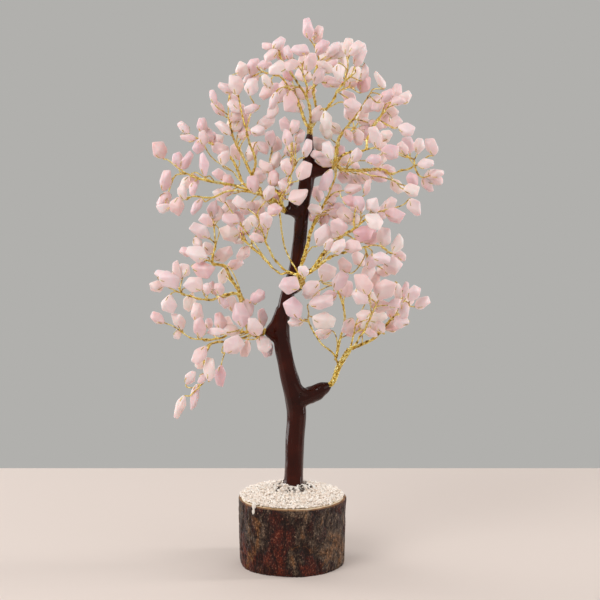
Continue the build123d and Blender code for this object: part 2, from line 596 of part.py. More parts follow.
def twig_wire(start, foot, along):
    """Straight wire from a shoot to a chip, cut off along the foot, or a little past it if it slants."""
    direction = (foot - start).normalized()
    ring = ring_corners(Plane(start, z_dir=direction), bundle_diameter(1), 3)
    slant = along.dot(direction)
    if slant > twig_slant_share:
        far_ring = [corner + direction * (along.dot(foot - corner) / slant) for corner in ring]
    else:
        far_ring = [corner + (foot - start) + direction * twig_seat for corner in ring]
    return ConvexPolyhedron(ring + far_ring, mode=Mode.PRIVATE)


flatness = chip_width / chip_thickness


def flattened(run):
    """Run with its depth stretched, so that flat chips can lie close behind each other."""
    return [Vector(point.X, point.Y * flatness, point.Z) for point in run]


def obstacle(start, end, radius, owner):
    """Straight run that later chips and twigs stay clear of, as it is and with its depth stretched."""
    flat = flattened((start, end))
    return {
        "run": (start, end), "flat": flat, "radius": radius, "owner": owner,
        "middle": (flat[0] + flat[1]) / 2, "reach": (flat[1] - flat[0]).length / 2 + radius,
    }


chip_obstacles = []
wire_obstacles = []


def gap_to_others(branch, body, twig):
    """Least free gap that a chip and its twig leave to what is placed, where it is a small one."""
    gap = 2 * chip_clearance
    for new, others in ((body, chip_obstacles), (twig, chip_obstacles), (body, wire_obstacles)):
        for other in others:
            nearest = (other["middle"] - new["middle"]).length - other["reach"] - new["reach"]
            if nearest < gap:
                gap = min(gap, run_distance(new["flat"], other["flat"]) - other["radius"] - new["radius"])
    for other in wire_obstacles:
        nearest = (other["middle"] - twig["middle"]).length - other["reach"] - twig["reach"]
        if other["owner"] != branch and nearest < gap:
            gap = min(gap, run_distance(twig["run"], other["run"]) - other["radius"] - twig["radius"])
    return gap


def twig_start(shoot_runs, foot):
    """Start of a twig: the nearest place on a shoot, moved back towards the root."""
    best = None
    for shoot in shoot_runs:
        for index, (start, end) in enumerate(zip(shoot, shoot[1:])):
            near = nearest_on_run(foot, start, end)
            distance = (foot - near).length
            if best is None or distance < best[0]:
                best = (distance, shoot, index, near)
    distance, shoot, index, near = best
    left = distance * twig_set_back_share
    while left > (near - shoot[index]).length and index > 0:
        left -= (near - shoot[index]).length
        near = shoot[index]
        index -= 1
    back = shoot[index] - near
    if back.length > 0:
        near = near + back.normalized() * min(left, back.length)
    return near


routes = {name: [[crown_place(point) for point in shoot] for shoot in shoots]
          for name, (stem, shoots, chips) in branch_shares.items()}


def nearest_run(shoots, point):
    """Which shoot and which of its runs is nearest to a point, and how far away it is."""
    found = None
    for number, shoot in enumerate(shoots):
        for index, (start, end) in enumerate(zip(shoot, shoot[1:])):
            distance = (point - nearest_on_run(point, start, end)).length
            if found is None or distance < found[2] - 1e-9:
                found = (number, index, distance)
    return found


def shoot_diameters(name):
    """Diameter of each shoot of a branch at each of its points, from the twigs that pass there."""
    shoots = routes[name]
    loads = [[0] * len(shoot) for shoot in shoots]
    for across, up, turn, length_share, width_share, back in branch_shares[name][2]:
        number, index, distance = nearest_run(shoots, crown_place((across, up, back)))
        for point in range(index + 1):
            loads[number][point] += 1
    for later in range(len(shoots) - 1, 0, -1):
        number, index, distance = nearest_run(shoots[:later], shoots[later][0])
        if distance < wire_diameter:
            for point in range(index + 1):
                loads[number][point] += max(loads[later][0], 1)
    return [[bundle_diameter(max(load, 1)) for load in shoot_loads] for shoot_loads in loads]


diameters = {name: shoot_diameters(name) for name in routes}

for name, shoots in routes.items():
    for shoot, widths in zip(shoots, diameters[name]):
        for start, end, width in zip(shoot, shoot[1:], widths):
            wire_obstacles.append(obstacle(start, end, width / 2, name))
for stem, shares in stem_shares.items():
    stem_points = [tree_place(point) for point in shares]
    for start, end in zip(stem_points, stem_points[1:]):
        wire_obstacles.append(obstacle(start, end, bundle_diameter(twig_total[stem]) / 2, stem))
for limb in [trunk_shares] + list(stub_shares.values()):
    for first, second in zip(limb, limb[1:]):
        radius = max(first[3], second[3]) / 1000 * tree_height / 2 + limb_clearance
        wire_obstacles.append(obstacle(tree_place(first), tree_place(second), radius, "trunk"))

body_low, body_high, body_radius = chip_body_shares
finished = []
for name, (stem, shoots, chips) in branch_shares.items():
    wires = []
    for shoot, widths in zip(routes[name], diameters[name]):
        wires += mitred_runs(shoot, widths, shoot_sides(widths[0]))
    stones = []
    for across, up, turn, length_share, width_share, back in chips:
        length = chip_length * length_share / 100
        width = chip_width * width_share / 100
        along, across_direction = chip_axes(turn, dice.uniform(-chip_lean_share, chip_lean_share))
        middle = crown_place((across, up, back))
        number, index, distance = nearest_run(routes[name], middle)
        shoot = routes[name][number]
        if along.dot(middle - nearest_on_run(middle, shoot[index], shoot[index + 1])) < 0:
            along = -along
            across_direction = -across_direction
        best = None
        for attempt in range(chip_step_count):
            shift = chip_step * ((attempt + 1) // 2) * (1 if attempt % 2 else -1)
            centre = place(across, up, back / 100 * crown_reach + shift)
            foot = centre - along * (length / 2)
            start = twig_start(routes[name], foot)
            body = obstacle(foot + along * (body_low * length), foot + along * (body_high * length),
                            width * body_radius, name)
            twig = obstacle(start, foot, bundle_diameter(1) / 2, name)
            gap = gap_to_others(name, body, twig)
            if best is None or gap > best[0]:
                best = (gap, foot, start, body, twig)
            if gap > chip_clearance:
                break
        gap, foot, start, body, twig = best
        chip_obstacles.append(body)
        wire_obstacles.append(twig)
        stones.append(rose_chip(foot, along, across_direction, length, width))
        wires.append(twig_wire(start, foot, along))
    with BuildPart() as branch_wire:
        add(wires)
        add(stones + [stems[stem]], mode=Mode.SUBTRACT)
        for earlier_stem, earlier in finished:
            if earlier_stem == stem:
                add(earlier, mode=Mode.SUBTRACT)
        scraps = [piece for piece in branch_wire.solids() if piece.volume < scrap_volume]
        if scraps:
            add(scraps, mode=Mode.SUBTRACT)
    finished.append((stem, branch_wire.part))
    save(branch_wire.part, name + "_wire")
    with BuildPart() as branch_chips:
        add(stones)
    save(branch_chips.part, name + "_chips")
    print(name, len(chips), "chips", len(branch_chips.part.solids()), "stones")

save(log_core.part, "log_core")
save(bark_ring.part, "bark_ring")
save(glue_bed.part, "glue_bed")
save(trunk_shell.part, "trunk_shell")
save(trunk_core.part, "trunk_core")
for stem, solid in stems.items():
    save(solid, "stem_" + stem)
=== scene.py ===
import json
import math
import random

import bpy
import numpy
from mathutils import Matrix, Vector, noise
from mathutils.bvhtree import BVHTree

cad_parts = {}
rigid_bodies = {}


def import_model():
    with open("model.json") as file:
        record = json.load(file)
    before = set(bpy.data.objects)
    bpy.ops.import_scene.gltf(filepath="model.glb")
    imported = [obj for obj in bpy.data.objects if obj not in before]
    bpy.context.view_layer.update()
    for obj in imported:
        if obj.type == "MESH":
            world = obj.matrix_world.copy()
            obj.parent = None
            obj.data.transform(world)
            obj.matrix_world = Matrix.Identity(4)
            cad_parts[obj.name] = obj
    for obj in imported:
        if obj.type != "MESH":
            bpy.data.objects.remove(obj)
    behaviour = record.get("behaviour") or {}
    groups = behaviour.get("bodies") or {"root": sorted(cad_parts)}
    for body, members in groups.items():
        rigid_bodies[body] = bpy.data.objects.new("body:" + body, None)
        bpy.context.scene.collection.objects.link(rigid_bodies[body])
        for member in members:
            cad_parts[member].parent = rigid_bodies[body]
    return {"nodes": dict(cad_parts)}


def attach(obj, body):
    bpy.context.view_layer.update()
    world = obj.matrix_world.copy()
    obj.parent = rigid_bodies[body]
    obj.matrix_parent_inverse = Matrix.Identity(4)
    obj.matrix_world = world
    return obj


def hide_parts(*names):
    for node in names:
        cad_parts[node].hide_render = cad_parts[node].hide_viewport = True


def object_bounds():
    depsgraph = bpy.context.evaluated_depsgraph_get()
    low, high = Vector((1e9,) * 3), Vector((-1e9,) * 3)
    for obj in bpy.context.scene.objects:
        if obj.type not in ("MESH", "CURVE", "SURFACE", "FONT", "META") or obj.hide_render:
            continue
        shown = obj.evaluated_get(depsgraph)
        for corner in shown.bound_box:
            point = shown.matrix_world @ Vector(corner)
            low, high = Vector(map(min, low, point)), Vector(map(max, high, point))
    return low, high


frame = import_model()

cadBox = [list(corner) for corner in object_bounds()]
mm = 0.001
dice = random.Random(11)
scene = bpy.context.scene


# Small helpers for nodes, materials and meshes

def linear(hexValue):
    parts = [int(hexValue[i:i + 2], 16) / 255 for i in (0, 2, 4)]
    return tuple(p / 12.92 if p <= 0.04045 else ((p + 0.055) / 1.055) ** 2.4 for p in parts) + (1.0,)


def addNode(tree, kind, settings, links=None):
    node = tree.nodes.new(kind)
    for key, value in settings.items():
        if key == "stops":  # colour ramp: position and colour of each stop
            while len(node.color_ramp.elements) < len(value):
                node.color_ramp.elements.new(0.5)
            for element, (position, colour) in zip(node.color_ramp.elements, value):
                element.position = position
                element.color = linear(colour)
        elif isinstance(key, str) and hasattr(node, key):
            setattr(node, key, value)
        else:
            node.inputs[key].default_value = value
    for key, source in (links or {}).items():
        tree.links.new(source, node.inputs[key])
    return node


def addNoise(tree, size, at, settings):
    # clouds about as wide as the size given
    settings = {"Scale": 1 / size, **settings}
    return addNode(tree, "ShaderNodeTexNoise", settings, {"Vector": at}).outputs["Fac"]


def addRamp(tree, share, stops):
    return addNode(tree, "ShaderNodeValToRGB", {"stops": stops}, {"Fac": share}).outputs["Color"]


def addRange(tree, value, settings):
    return addNode(tree, "ShaderNodeMapRange", settings, {"Value": value}).outputs["Result"]


def addMath(tree, operation, settings, links):
    return addNode(tree, "ShaderNodeMath", {"operation": operation, **settings}, links).outputs[0]


def addBlend(tree, share, first, second, mode="MIX"):
    # colour between two others: each of the three is a socket, or else a hex colour or a number
    settings = {"data_type": "RGBA", "blend_type": mode}
    links = {}
    for key, value in ((0, share), (6, first), (7, second)):
        if isinstance(value, bpy.types.NodeSocket):
            links[key] = value
        else:
            settings[key] = linear(value) if isinstance(value, str) else value
    return addNode(tree, "ShaderNodeMix", settings, links).outputs[2]


def addRelief(tree, height, strength, distance):
    settings = {"Strength": strength, "Distance": distance}
    return addNode(tree, "ShaderNodeBump", settings, {"Height": height}).outputs["Normal"]


def stretched(tree, spot, scale):
    return addNode(tree, "ShaderNodeMapping", {"Scale": scale}, {"Vector": spot}).outputs["Vector"]


def newMaterial(name):
    material = bpy.data.materials.new(name)
    material.use_nodes = True
    tree = material.node_tree
    return material, tree, addNode(tree, "ShaderNodeTexCoord", {}).outputs["Object"]


def setSurface(tree, values):
    surface = tree.nodes["Principled BSDF"]
    for key, value in values.items():
        if isinstance(value, bpy.types.NodeSocket):
            tree.links.new(value, surface.inputs[key])
        else:
            surface.inputs[key].default_value = value


def deselectAll():
    for other in bpy.context.view_layer.objects:
        other.select_set(False)


def activate(piece):
    deselectAll()
    piece.select_set(True)
    bpy.context.view_layer.objects.active = piece


def editAll(piece):
    activate(piece)
    bpy.ops.object.mode_set(mode="EDIT")
    bpy.ops.mesh.select_all(action="SELECT")


def closeEdit():
    # back to the object, with all its faces turned outwards
    bpy.ops.mesh.select_all(action="SELECT")
    bpy.ops.mesh.normals_make_consistent(inside=False)
    bpy.ops.object.mode_set(mode="OBJECT")


def extrudeUp(rise):
    bpy.ops.mesh.extrude_region_move(TRANSFORM_OT_translate={"value": (0, 0, rise)})


def narrowTo(share):
    bpy.ops.transform.resize(value=(share, share, 1))


def copyPiece(piece):
    twin = piece.copy()
    twin.data = twin.data.copy()
    scene.collection.objects.link(twin)
    return twin


def joinPieces(pieces):
    deselectAll()
    for piece in pieces:
        piece.select_set(True)
    bpy.context.view_layer.objects.active = pieces[0]
    bpy.ops.object.join()
    return pieces[0]


def applyModifier(piece, kind, settings):
    activate(piece)
    modifier = piece.modifiers.new(kind.lower(), kind)
    for key, value in settings.items():
        setattr(modifier, key, value)
    bpy.ops.object.modifier_apply(modifier=modifier.name)


def bakePlace(piece):
    activate(piece)
    bpy.ops.object.transform_apply(location=True, rotation=True, scale=True)


def finishPiece(piece, name, material, nodes):
    piece.name = name
    piece.data.name = name
    piece.data.materials.clear()
    piece.data.materials.append(material)
    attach(piece, "root")
    if nodes:
        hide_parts(*nodes)


def curvePiece(strands, sides):
    # strands: lists of (point in millimetres, radius in millimetres), made a mesh of thin tubes
    curve = bpy.data.curves.new("strands", "CURVE")
    curve.dimensions = "3D"
    curve.bevel_depth = mm
    curve.bevel_resolution = max(0, sides // 2 - 2)
    curve.use_fill_caps = True
    for strand in strands:
        spline = curve.splines.new("POLY")
        spline.points.add(len(strand) - 1)
        flat = []
        for point, radius in strand:
            flat += [point.x * mm, point.y * mm, point.z * mm, 1.0]
        spline.points.foreach_set("co", flat)
        spline.points.foreach_set("radius", [radius for point, radius in strand])
    piece = bpy.data.objects.new("strands", curve)
    scene.collection.objects.link(piece)
    activate(piece)
    bpy.ops.object.convert(target="MESH")
    return bpy.context.view_layer.objects.active


# The camera stands where the photographer stood; every branch is laid out on its sight lines
print("camera, light and floor")
studio = {
    "eye": (4.6, -1000.0, 311.0),  # millimetres
    "lookDown": 9.25,  # degrees
    "lens": 111.4,
    "sensor": 36.0,
    "treeHeight": 300.0,
    "crownReach": 50.0,
    "floorColour": "DACCC3",
    "floorRoughness": 0.75,
    "floorWidth": 0.56,  # metres
    "floorDepth": 0.418,
    "backColour": "B1B0AD",
    "ambient": 0.56,
    "lampAim": (0, 0, 0.16),
}
eye = Vector(studio["eye"])
scene.view_settings.view_transform = "Standard"
bpy.ops.object.camera_add(location=eye * mm, rotation=(math.radians(90 - studio["lookDown"]), 0, 0))
camera = bpy.context.object
camera.name = "studioCamera"
camera.data.lens = studio["lens"]
camera.data.sensor_width = studio["sensor"]
scene.camera = camera

# lamps: the tall panels stand at the sides for the reflections along the trunk
lamps = {
    "keyLamp": {"place": (-0.6, -0.7, 0.85), "size": 0.7, "power": 6.2},
    "fillLamp": {"place": (0.8, -0.5, 0.4), "size": 0.6, "power": 0.8},
    "backLamp": {"place": (0.3, 0.7, 0.8), "size": 0.5, "power": 0.6},
    "leftPanel": {"place": (-0.82, 0.45, 0.4), "size": 0.5, "height": 1.1, "power": 4.2},
    "rightStrip": {"place": (0.9, 0.08, 0.42), "size": 0.14, "height": 1.1, "power": 4.0},
}
for name, lamp in lamps.items():
    place = Vector(lamp["place"])
    bpy.ops.object.light_add(type="AREA", location=place)
    light = bpy.context.object
    light.name = name
    light.rotation_euler = (Vector(studio["lampAim"]) - place).to_track_quat("-Z", "Y").to_euler()
    light.data.shape = "RECTANGLE" if "height" in lamp else "DISK"
    light.data.size = lamp["size"]
    light.data.size_y = lamp.get("height", lamp["size"])
    light.data.energy = lamp["power"]

world = bpy.data.worlds.new("studioRoom")
scene.world = world
world.use_nodes = True
tree = world.node_tree
tree.nodes.clear()
rays = addNode(tree, "ShaderNodeLightPath", {})
seen = addMath(tree, "MAXIMUM", {}, {0: rays.outputs["Is Camera Ray"], 1: rays.outputs["Is Glossy Ray"]})
seen = addMath(tree, "MAXIMUM", {}, {0: seen, 1: rays.outputs["Is Transmission Ray"]})
roomLight = addNode(tree, "ShaderNodeBackground", {"Color": linear("FFFFFF"), "Strength": studio["ambient"]})
backdrop = addNode(tree, "ShaderNodeBackground", {"Color": linear(studio["backColour"]), "Strength": 1.0})
mixed = addNode(tree, "ShaderNodeMixShader", {}, {0: seen, 1: roomLight.outputs[0], 2: backdrop.outputs[0]})
addNode(tree, "ShaderNodeOutputWorld", {}, {"Surface": mixed.outputs[0]})

# Floor: painted board, quite matt
floorPaint = bpy.data.materials.new("paintedBoard")
floorPaint.use_nodes = True
setSurface(floorPaint.node_tree, {
    "Base Color": linear(studio["floorColour"]),
    "Roughness": studio["floorRoughness"],
})
bpy.ops.mesh.primitive_plane_add(size=1)
floor = bpy.context.object
floor.scale = (studio["floorWidth"], studio["floorDepth"], 1)
bakePlace(floor)
floor.name = "floor"
floor.data.materials.append(floorPaint)


# Places, as in the solid model: across and up in thousandths of the tree height, back along the sight line
def place(across, up, back):
    seenAt = Vector((across, 0, up)) * studio["treeHeight"] / 1000
    distance = -eye.y
    return eye + (seenAt - eye) * ((distance + back) / distance)


def treePlace(share):
    # back in thousandths of the tree height
    return place(share[0], share[1], share[2] / 1000 * studio["treeHeight"])


def crownPlace(share):
    # back in hundredths of the reach of the crown
    return place(share[0], share[1], share[2] / 100 * studio["crownReach"])


def smoothRoute(values, step):
    # curve through all the given rows of numbers, with a row every step; the first three are a place
    rows = [Vector(row) for row in values]
    if len(rows) == 2:
        rows.insert(1, (rows[0] + rows[1]) / 2)
    rows = [rows[0] * 2 - rows[1]] + rows + [rows[-1] * 2 - rows[-2]]
    route = []
    for a, b, c, d in zip(rows, rows[1:], rows[2:], rows[3:]):
        length = (c - b).length
        count = max(2, int(length / step + 0.5))
        for k in range(count):
            t = k / count
            route.append(b + (c - a) * (0.5 * t) + (a * 2 - b * 5 + c * 4 - d) * (0.5 * t * t)
                         + (b * 3 - a - c * 3 + d) * (0.5 * t ** 3))
    route.append(rows[-2])
    return route


def routeFrames(route):
    # place, sideways direction, upward direction and distance from the root, at each sample
    samples = []
    side = Vector((0, 0, 1))
    travelled = 0.0
    for index, point in enumerate(route):
        ahead = (route[min(index + 1, len(route) - 1)] - route[max(index - 1, 0)]).normalized()
        side = side - ahead * side.dot(ahead)
        if side.length < 0.05:
            side = ahead.orthogonal()
        side = side.normalized()
        if index:
            travelled += (point - route[index - 1]).length
        samples.append((point, side, ahead.cross(side), travelled))
    return samples


def twistStrands(route, outer, count, pitch, slack=0.0):
    # strands wound round a route inside an outer radius, each touching its neighbours
    strands = [[] for k in range(count)]
    thick = outer * (math.sin(math.pi / count) / (1 + math.sin(math.pi / count)))
    phase = dice.uniform(0, 6.28)
    for point, side, up, travelled in routeFrames(route):
        for k in range(count):
            turn = phase + 2 * math.pi * (k / count + travelled / pitch)
            reach = (outer - thick) * (1 + slack * math.sin(3.1 * k + travelled / pitch * 2.3))
            strands[k].append((point + (side * math.cos(turn) + up * math.sin(turn)) * reach, thick))
    return strands


# Materials

# Rose quartz, tumbled: milky pink stone, clouded inside, with a soft waxy gloss and fine pits
roseQuartz, tree, spot = newMaterial("tumbledRoseQuartz")
tone = addNode(tree, "ShaderNodeAttribute", {"attribute_name": "chipTone"}).outputs["Fac"]
cloud = addNoise(tree, 5 * mm, spot, {"Detail": 3.0, "Roughness": 0.55})
depth = addMath(tree, "MULTIPLY_ADD", {1: 0.55, 2: -0.27}, {0: cloud})
depth = addMath(tree, "ADD", {}, {0: depth, 1: tone})
mauve = addRamp(tree, depth, [(0.0, "F2E8E4"), (0.3, "EEDBDB"), (0.65, "E6C6CC"), (1.0, "DAA6B2")])
peach = addRamp(tree, depth, [(0.0, "F4E9E0"), (0.3, "F1DDD6"), (0.65, "E9C9C4"), (1.0, "DDA8A4")])
warmth = addNode(tree, "ShaderNodeTexWhiteNoise", {"noise_dimensions": "1D"}, {"W": tone}).outputs["Value"]
pits = addNoise(tree, 1.1 * mm, spot, {"Detail": 2.0})
setSurface(tree, {
    "Base Color": addBlend(tree, warmth, mauve, peach),
    "Roughness": addRange(tree, cloud, {"To Min": 0.26, "To Max": 0.5}),
    "Normal": addRelief(tree, pits, 0.25, 0.25 * mm),
    "IOR": 1.54,
    "Subsurface Weight": 0.6,
    "Subsurface Radius": (1.0, 0.6, 0.55),
    "Subsurface Scale": 2.0 * mm,
})

# Gold-coloured copper craft wire, drawn and lacquered: bright yellow metal, with painted shade and
# painted highlights in patches about 1.6 mm across
goldWire, tree, spot = newMaterial("lacqueredCraftWire")
paintedGlintAndShade = addNoise(tree, 1.6 * mm, spot, {"Detail": 2.0, "Roughness": 0.6})
setSurface(tree, {
    # the darkest stop is painted shade and the palest one a painted highlight
    "Base Color": addRamp(tree, paintedGlintAndShade, [
        (0.33, "74541A"), (0.42, "DAAC3E"), (0.52, "F8DC72"), (0.66, "FFF4BC")]),
    "Metallic": 0.65,
    "Roughness": 0.27,
})

# Dark brown polyester resin, cast and glossy, with soft dents from the mould
darkResin, tree, spot = newMaterial("castBrownResin")
shade = addNoise(tree, 14 * mm, spot, {"Detail": 3.0})
dents = addNoise(tree, 3 * mm, stretched(tree, spot, (1, 1, 0.3)), {"Detail": 2.0})
setSurface(tree, {
    "Base Color": addRamp(tree, shade, [(0.3, "220500"), (0.6, "380D02"), (0.85, "541C08")]),
    "Normal": addRelief(tree, dents, 0.4, 0.6 * mm),
    "Roughness": 0.1,
    "Specular IOR Level": 0.25,
})

# Bark, dried and varnished: dark plates, red-brown inner layer, flaked tan places, fine pale fibres,
# painted shade in the cracks, and paler where the saw went through
bark, tree, spot = newMaterial("varnishedBark")
upright = stretched(tree, spot, (1, 1, 0.6))
plates = addNoise(tree, 17 * mm, upright, {"Detail": 7.0, "Roughness": 0.66, "Distortion": 0.4})
colour = addRamp(tree, plates, [
    (0.3, "201210"), (0.38, "70280E"), (0.46, "4A1406"), (0.52, "351A10"), (0.58, "6A5848"),
    (0.64, "8E6440"), (0.72, "30201E")])
flakes = addNoise(tree, 12 * mm, upright, {"Detail": 4.0, "Roughness": 0.6, "Distortion": 1.2})
flaked = addRange(tree, flakes, {"From Min": 0.58, "From Max": 0.68, "To Max": 0.85})
colour = addBlend(tree, flaked, colour, "8C5B2E")
grit = addNoise(tree, 0.8 * mm, upright, {"Detail": 3.0, "Roughness": 0.75})
grain = addRamp(tree, grit, [(0.4, "3C2C28"), (0.5, "C4B8B0"), (0.58, "FFFFFF")])
colour = addBlend(tree, 0.9, colour, grain, "MULTIPLY")
fibres = addRange(tree, grit, {"From Min": 0.6, "From Max": 0.72, "To Max": 0.6})
colour = addBlend(tree, fibres, colour, "C9A88C")
paintedCrackShade = addNode(tree, "ShaderNodeAttribute", {"attribute_name": "barkCrack"}).outputs["Fac"]
# painted shade: the cracks are darkened nearly to black
colour = addBlend(tree, addMath(tree, "MULTIPLY", {1: 0.75}, {0: paintedCrackShade}), colour, "160A06")
upward = addNode(tree, "ShaderNodeSeparateXYZ", {}, {"Vector": spot}).outputs["Z"]
sawn = addRange(tree, upward, {"From Min": 37.0 * mm, "From Max": 38.0 * mm})
setSurface(tree, {
    "Base Color": addBlend(tree, sawn, colour, "B8875A"),
    "Normal": addRelief(tree, grit, 0.9, 0.7 * mm),
    "Roughness": 0.42,
    "Specular IOR Level": 0.25,
})

# Cut end grain of a pale softwood, sawn and sanded, with growth rings about 4 mm apart
cutWood, tree, spot = newMaterial("sandedEndGrain")
rings = addNode(tree, "ShaderNodeTexWave", {
    "wave_type": "RINGS", "rings_direction": "Z", "Scale": 1 / (12 * mm), "Distortion": 1.5, "Detail": 2.0,
}, {"Vector": spot}).outputs["Fac"]
setSurface(tree, {
    "Base Color": addRamp(tree, rings, [(0.2, "D6B482"), (0.6, "EED6B0"), (0.9, "F5E4C8")]),
    "Roughness": 0.65,
})

# Clear glue, set: glassy, a little milky
clearGlue, tree, spot = newMaterial("setClearGlue")
setSurface(tree, {
    "Base Color": addRamp(tree, addNoise(tree, 3 * mm, spot, {}), [(0.35, "F4E8DA"), (0.7, "FFF6EC")]),
    "Roughness": 0.2,
    "Transmission Weight": 0.15,
})

# Quartz, crushed: clear to white splinters with sharp bright faces, and painted shade near the trunk
crushedQuartz, tree, spot = newMaterial("crushedClearQuartz")
tone = addNode(tree, "ShaderNodeAttribute", {"attribute_name": "chipTone"}).outputs["Fac"]
setSurface(tree, {
    # tone 0 is painted shade: the trunk's shadow and reflection seen through the stones
    "Base Color": addRamp(tree, tone, [
        (0.0, "4A3E36"), (0.08, "F2DFCE"), (0.4, "FCEDDF"), (1.0, "FFF7EC")]),
    "Roughness": 0.25,
    "IOR": 1.54,
    "Subsurface Weight": 0.2,
    "Subsurface Radius": (1.0, 0.93, 0.86),
    "Subsurface Scale": 3.5 * mm,
})


# Log: bark and end grain
print("log")
log = {
    "height": 38.0,
    "radius": 30.0,
    "lobes": ((2, 0.6, 0.012), (5, 0.0, 0.010)),  # number round the log, turn, share of the radius
    "barkThickness": 1.5,
    "cellsAround": 220,
    "cellsUp": 44,
    "upScale": 0.3,  # the bark's pattern is long from foot to top
    "crackScale": 0.32,
    "crackSharpness": 3.2,
    "leastDepth": 0.15,  # depths below the outline, in millimetres
    "crackDepth": 0.75,
    "plateDepth": 0.5,
    "plateScale": 0.11,
    "grainDepth": 0.3,
    "footDepth": 0.8,  # the slice narrows a little to its foot
    "edgeHeight": 1.6,  # rounding of the upper and lower edges
    "edgeSlope": 0.25,
    "lipDrop": 0.6,
    "lipInset": 0.6,
    "lipRise": 0.35,
    "lipRaggedness": 0.5,
    "wallInset": 0.4,
    "lipMark": 0.985,  # the lip and the wall in the bare mesh, as shares of the ring outside them
    "wallMark": 0.97,
    "woodPoints": 120,
    "woodInset": 0.5,
    "woodBevel": 0.3,
    "woodBevelShare": 0.02,
    "woodRingShare": 0.1,
}


def logRadius(turn):
    waves = (size * math.cos(count * turn + ahead) for count, ahead, size in log["lobes"])
    return log["radius"] * sum(waves, 1)


def barkPlace(turn, height):
    across = log["radius"]
    return Vector((math.cos(turn) * across, math.sin(turn) * across, height * log["upScale"]))


def barkCrack(turn, height):
    # long cracks, 1 in the middle of each; the same mask darkens the cracks with painted shade
    ridge = abs(noise.noise(barkPlace(turn, height) * log["crackScale"])) * 2
    return max(0.0, 1 - ridge * log["crackSharpness"])


def barkDepth(turn, height):
    # how far the bark lies under its outline: long cracks, plates and a few flaked places
    at = barkPlace(turn, height)
    plate = noise.noise(at * log["plateScale"] + Vector((5, 2, 1)))
    grain = noise.noise(Vector((at.x * 1.3, at.y * 1.3, height * 0.5)))
    foot = log["footDepth"] * (1 - height / log["height"])
    return (log["leastDepth"] + log["crackDepth"] * barkCrack(turn, height)
            + log["plateDepth"] * (plate + 0.5) + log["grainDepth"] * grain + foot)


bpy.ops.mesh.primitive_circle_add(vertices=log["cellsAround"], radius=1)
barkPiece = bpy.context.object
editAll(barkPiece)
for row in range(log["cellsUp"]):
    extrudeUp((log["height"] - log["lipDrop"]) / log["cellsUp"])
for narrower in (log["lipMark"], log["wallMark"]):
    extrudeUp(0)
    narrowTo(narrower)
extrudeUp(log["lipDrop"] - log["height"])
extrudeUp(0)
narrowTo(1 / log["lipMark"] / log["wallMark"])
bpy.ops.mesh.select_all(action="SELECT")
bpy.ops.mesh.remove_doubles(threshold=0.001)
closeEdit()
# the crack mask, kept for the painted shade in the cracks
crackShadeLayer = barkPiece.data.attributes.new("barkCrack", "FLOAT", "POINT")
for vertex in barkPiece.data.vertices:
    turn = math.atan2(vertex.co.y, vertex.co.x)
    share = math.hypot(vertex.co.x, vertex.co.y)
    height = vertex.co.z
    if share > (1 + log["lipMark"]) / 2:  # outer face
        reach = logRadius(turn) - barkDepth(turn, height)
        crackShadeLayer.data[vertex.index].value = barkCrack(turn, height)
        edge = max(0.0, abs(height - log["height"] / 2) - log["height"] / 2 + log["edgeHeight"])
        reach -= log["edgeSlope"] * edge
    elif share > log["lipMark"] * (1 + log["wallMark"]) / 2:
        reach = logRadius(turn) - log["lipInset"] - 0.5 * log["barkThickness"]
        height += log["lipRise"] + log["lipRaggedness"] * noise.noise(Vector((turn * 6, 3, 0)))
    else:
        reach = logRadius(turn) - log["wallInset"] - log["barkThickness"]
    vertex.co = Vector((math.cos(turn) * reach, math.sin(turn) * reach, height)) * mm
bpy.ops.object.shade_smooth()
finishPiece(barkPiece, "barkShell", bark, ["bark_ring"])

bpy.ops.mesh.primitive_circle_add(vertices=log["woodPoints"], radius=1, fill_type="NGON")
woodPiece = bpy.context.object
editAll(woodPiece)
extrudeUp(log["height"] - log["woodBevel"])
bpy.ops.mesh.inset(thickness=log["woodBevelShare"])
bpy.ops.transform.translate(value=(0, 0, log["woodBevel"]))
bpy.ops.mesh.inset(thickness=log["woodRingShare"])
closeEdit()
for vertex in woodPiece.data.vertices:
    turn = math.atan2(vertex.co.y, vertex.co.x)
    share = math.hypot(vertex.co.x, vertex.co.y)
    reach = (logRadius(turn) - log["woodInset"] - log["barkThickness"]) * share
    vertex.co = Vector((math.cos(turn) * reach, math.sin(turn) * reach, vertex.co.z)) * mm
finishPiece(woodPiece, "woodSlice", cutWood, ["log_core"])

glueBed = frame["nodes"]["glue_bed"]
glueBed.data.materials.clear()
glueBed.data.materials.append(clearGlue)

# a drop of glue that ran over the rim at the front
glueDrop = {
    "middle": (-20.2, -20.0, 36.0),
    "radius": 1.2,
    "belly": 0.35,
    "lumps": 0.3,
    "halfHeight": 4.0,
}
bpy.ops.mesh.primitive_ico_sphere_add(subdivisions=3, radius=1)
dropPiece = bpy.context.object
activate(dropPiece)
for vertex in dropPiece.data.vertices:
    x, y, z = vertex.co
    width = glueDrop["radius"] + (glueDrop["belly"] * math.sin(-z * math.pi) if z < 0 else z)
    width += glueDrop["lumps"] * noise.noise(vertex.co * 2)
    spread = (x * width, y * width, z * glueDrop["halfHeight"])
    vertex.co = Vector([part + middle for part, middle in zip(spread, glueDrop["middle"])]) * mm
bpy.ops.object.shade_smooth()
finishPiece(dropPiece, "glueDrip", clearGlue, [])


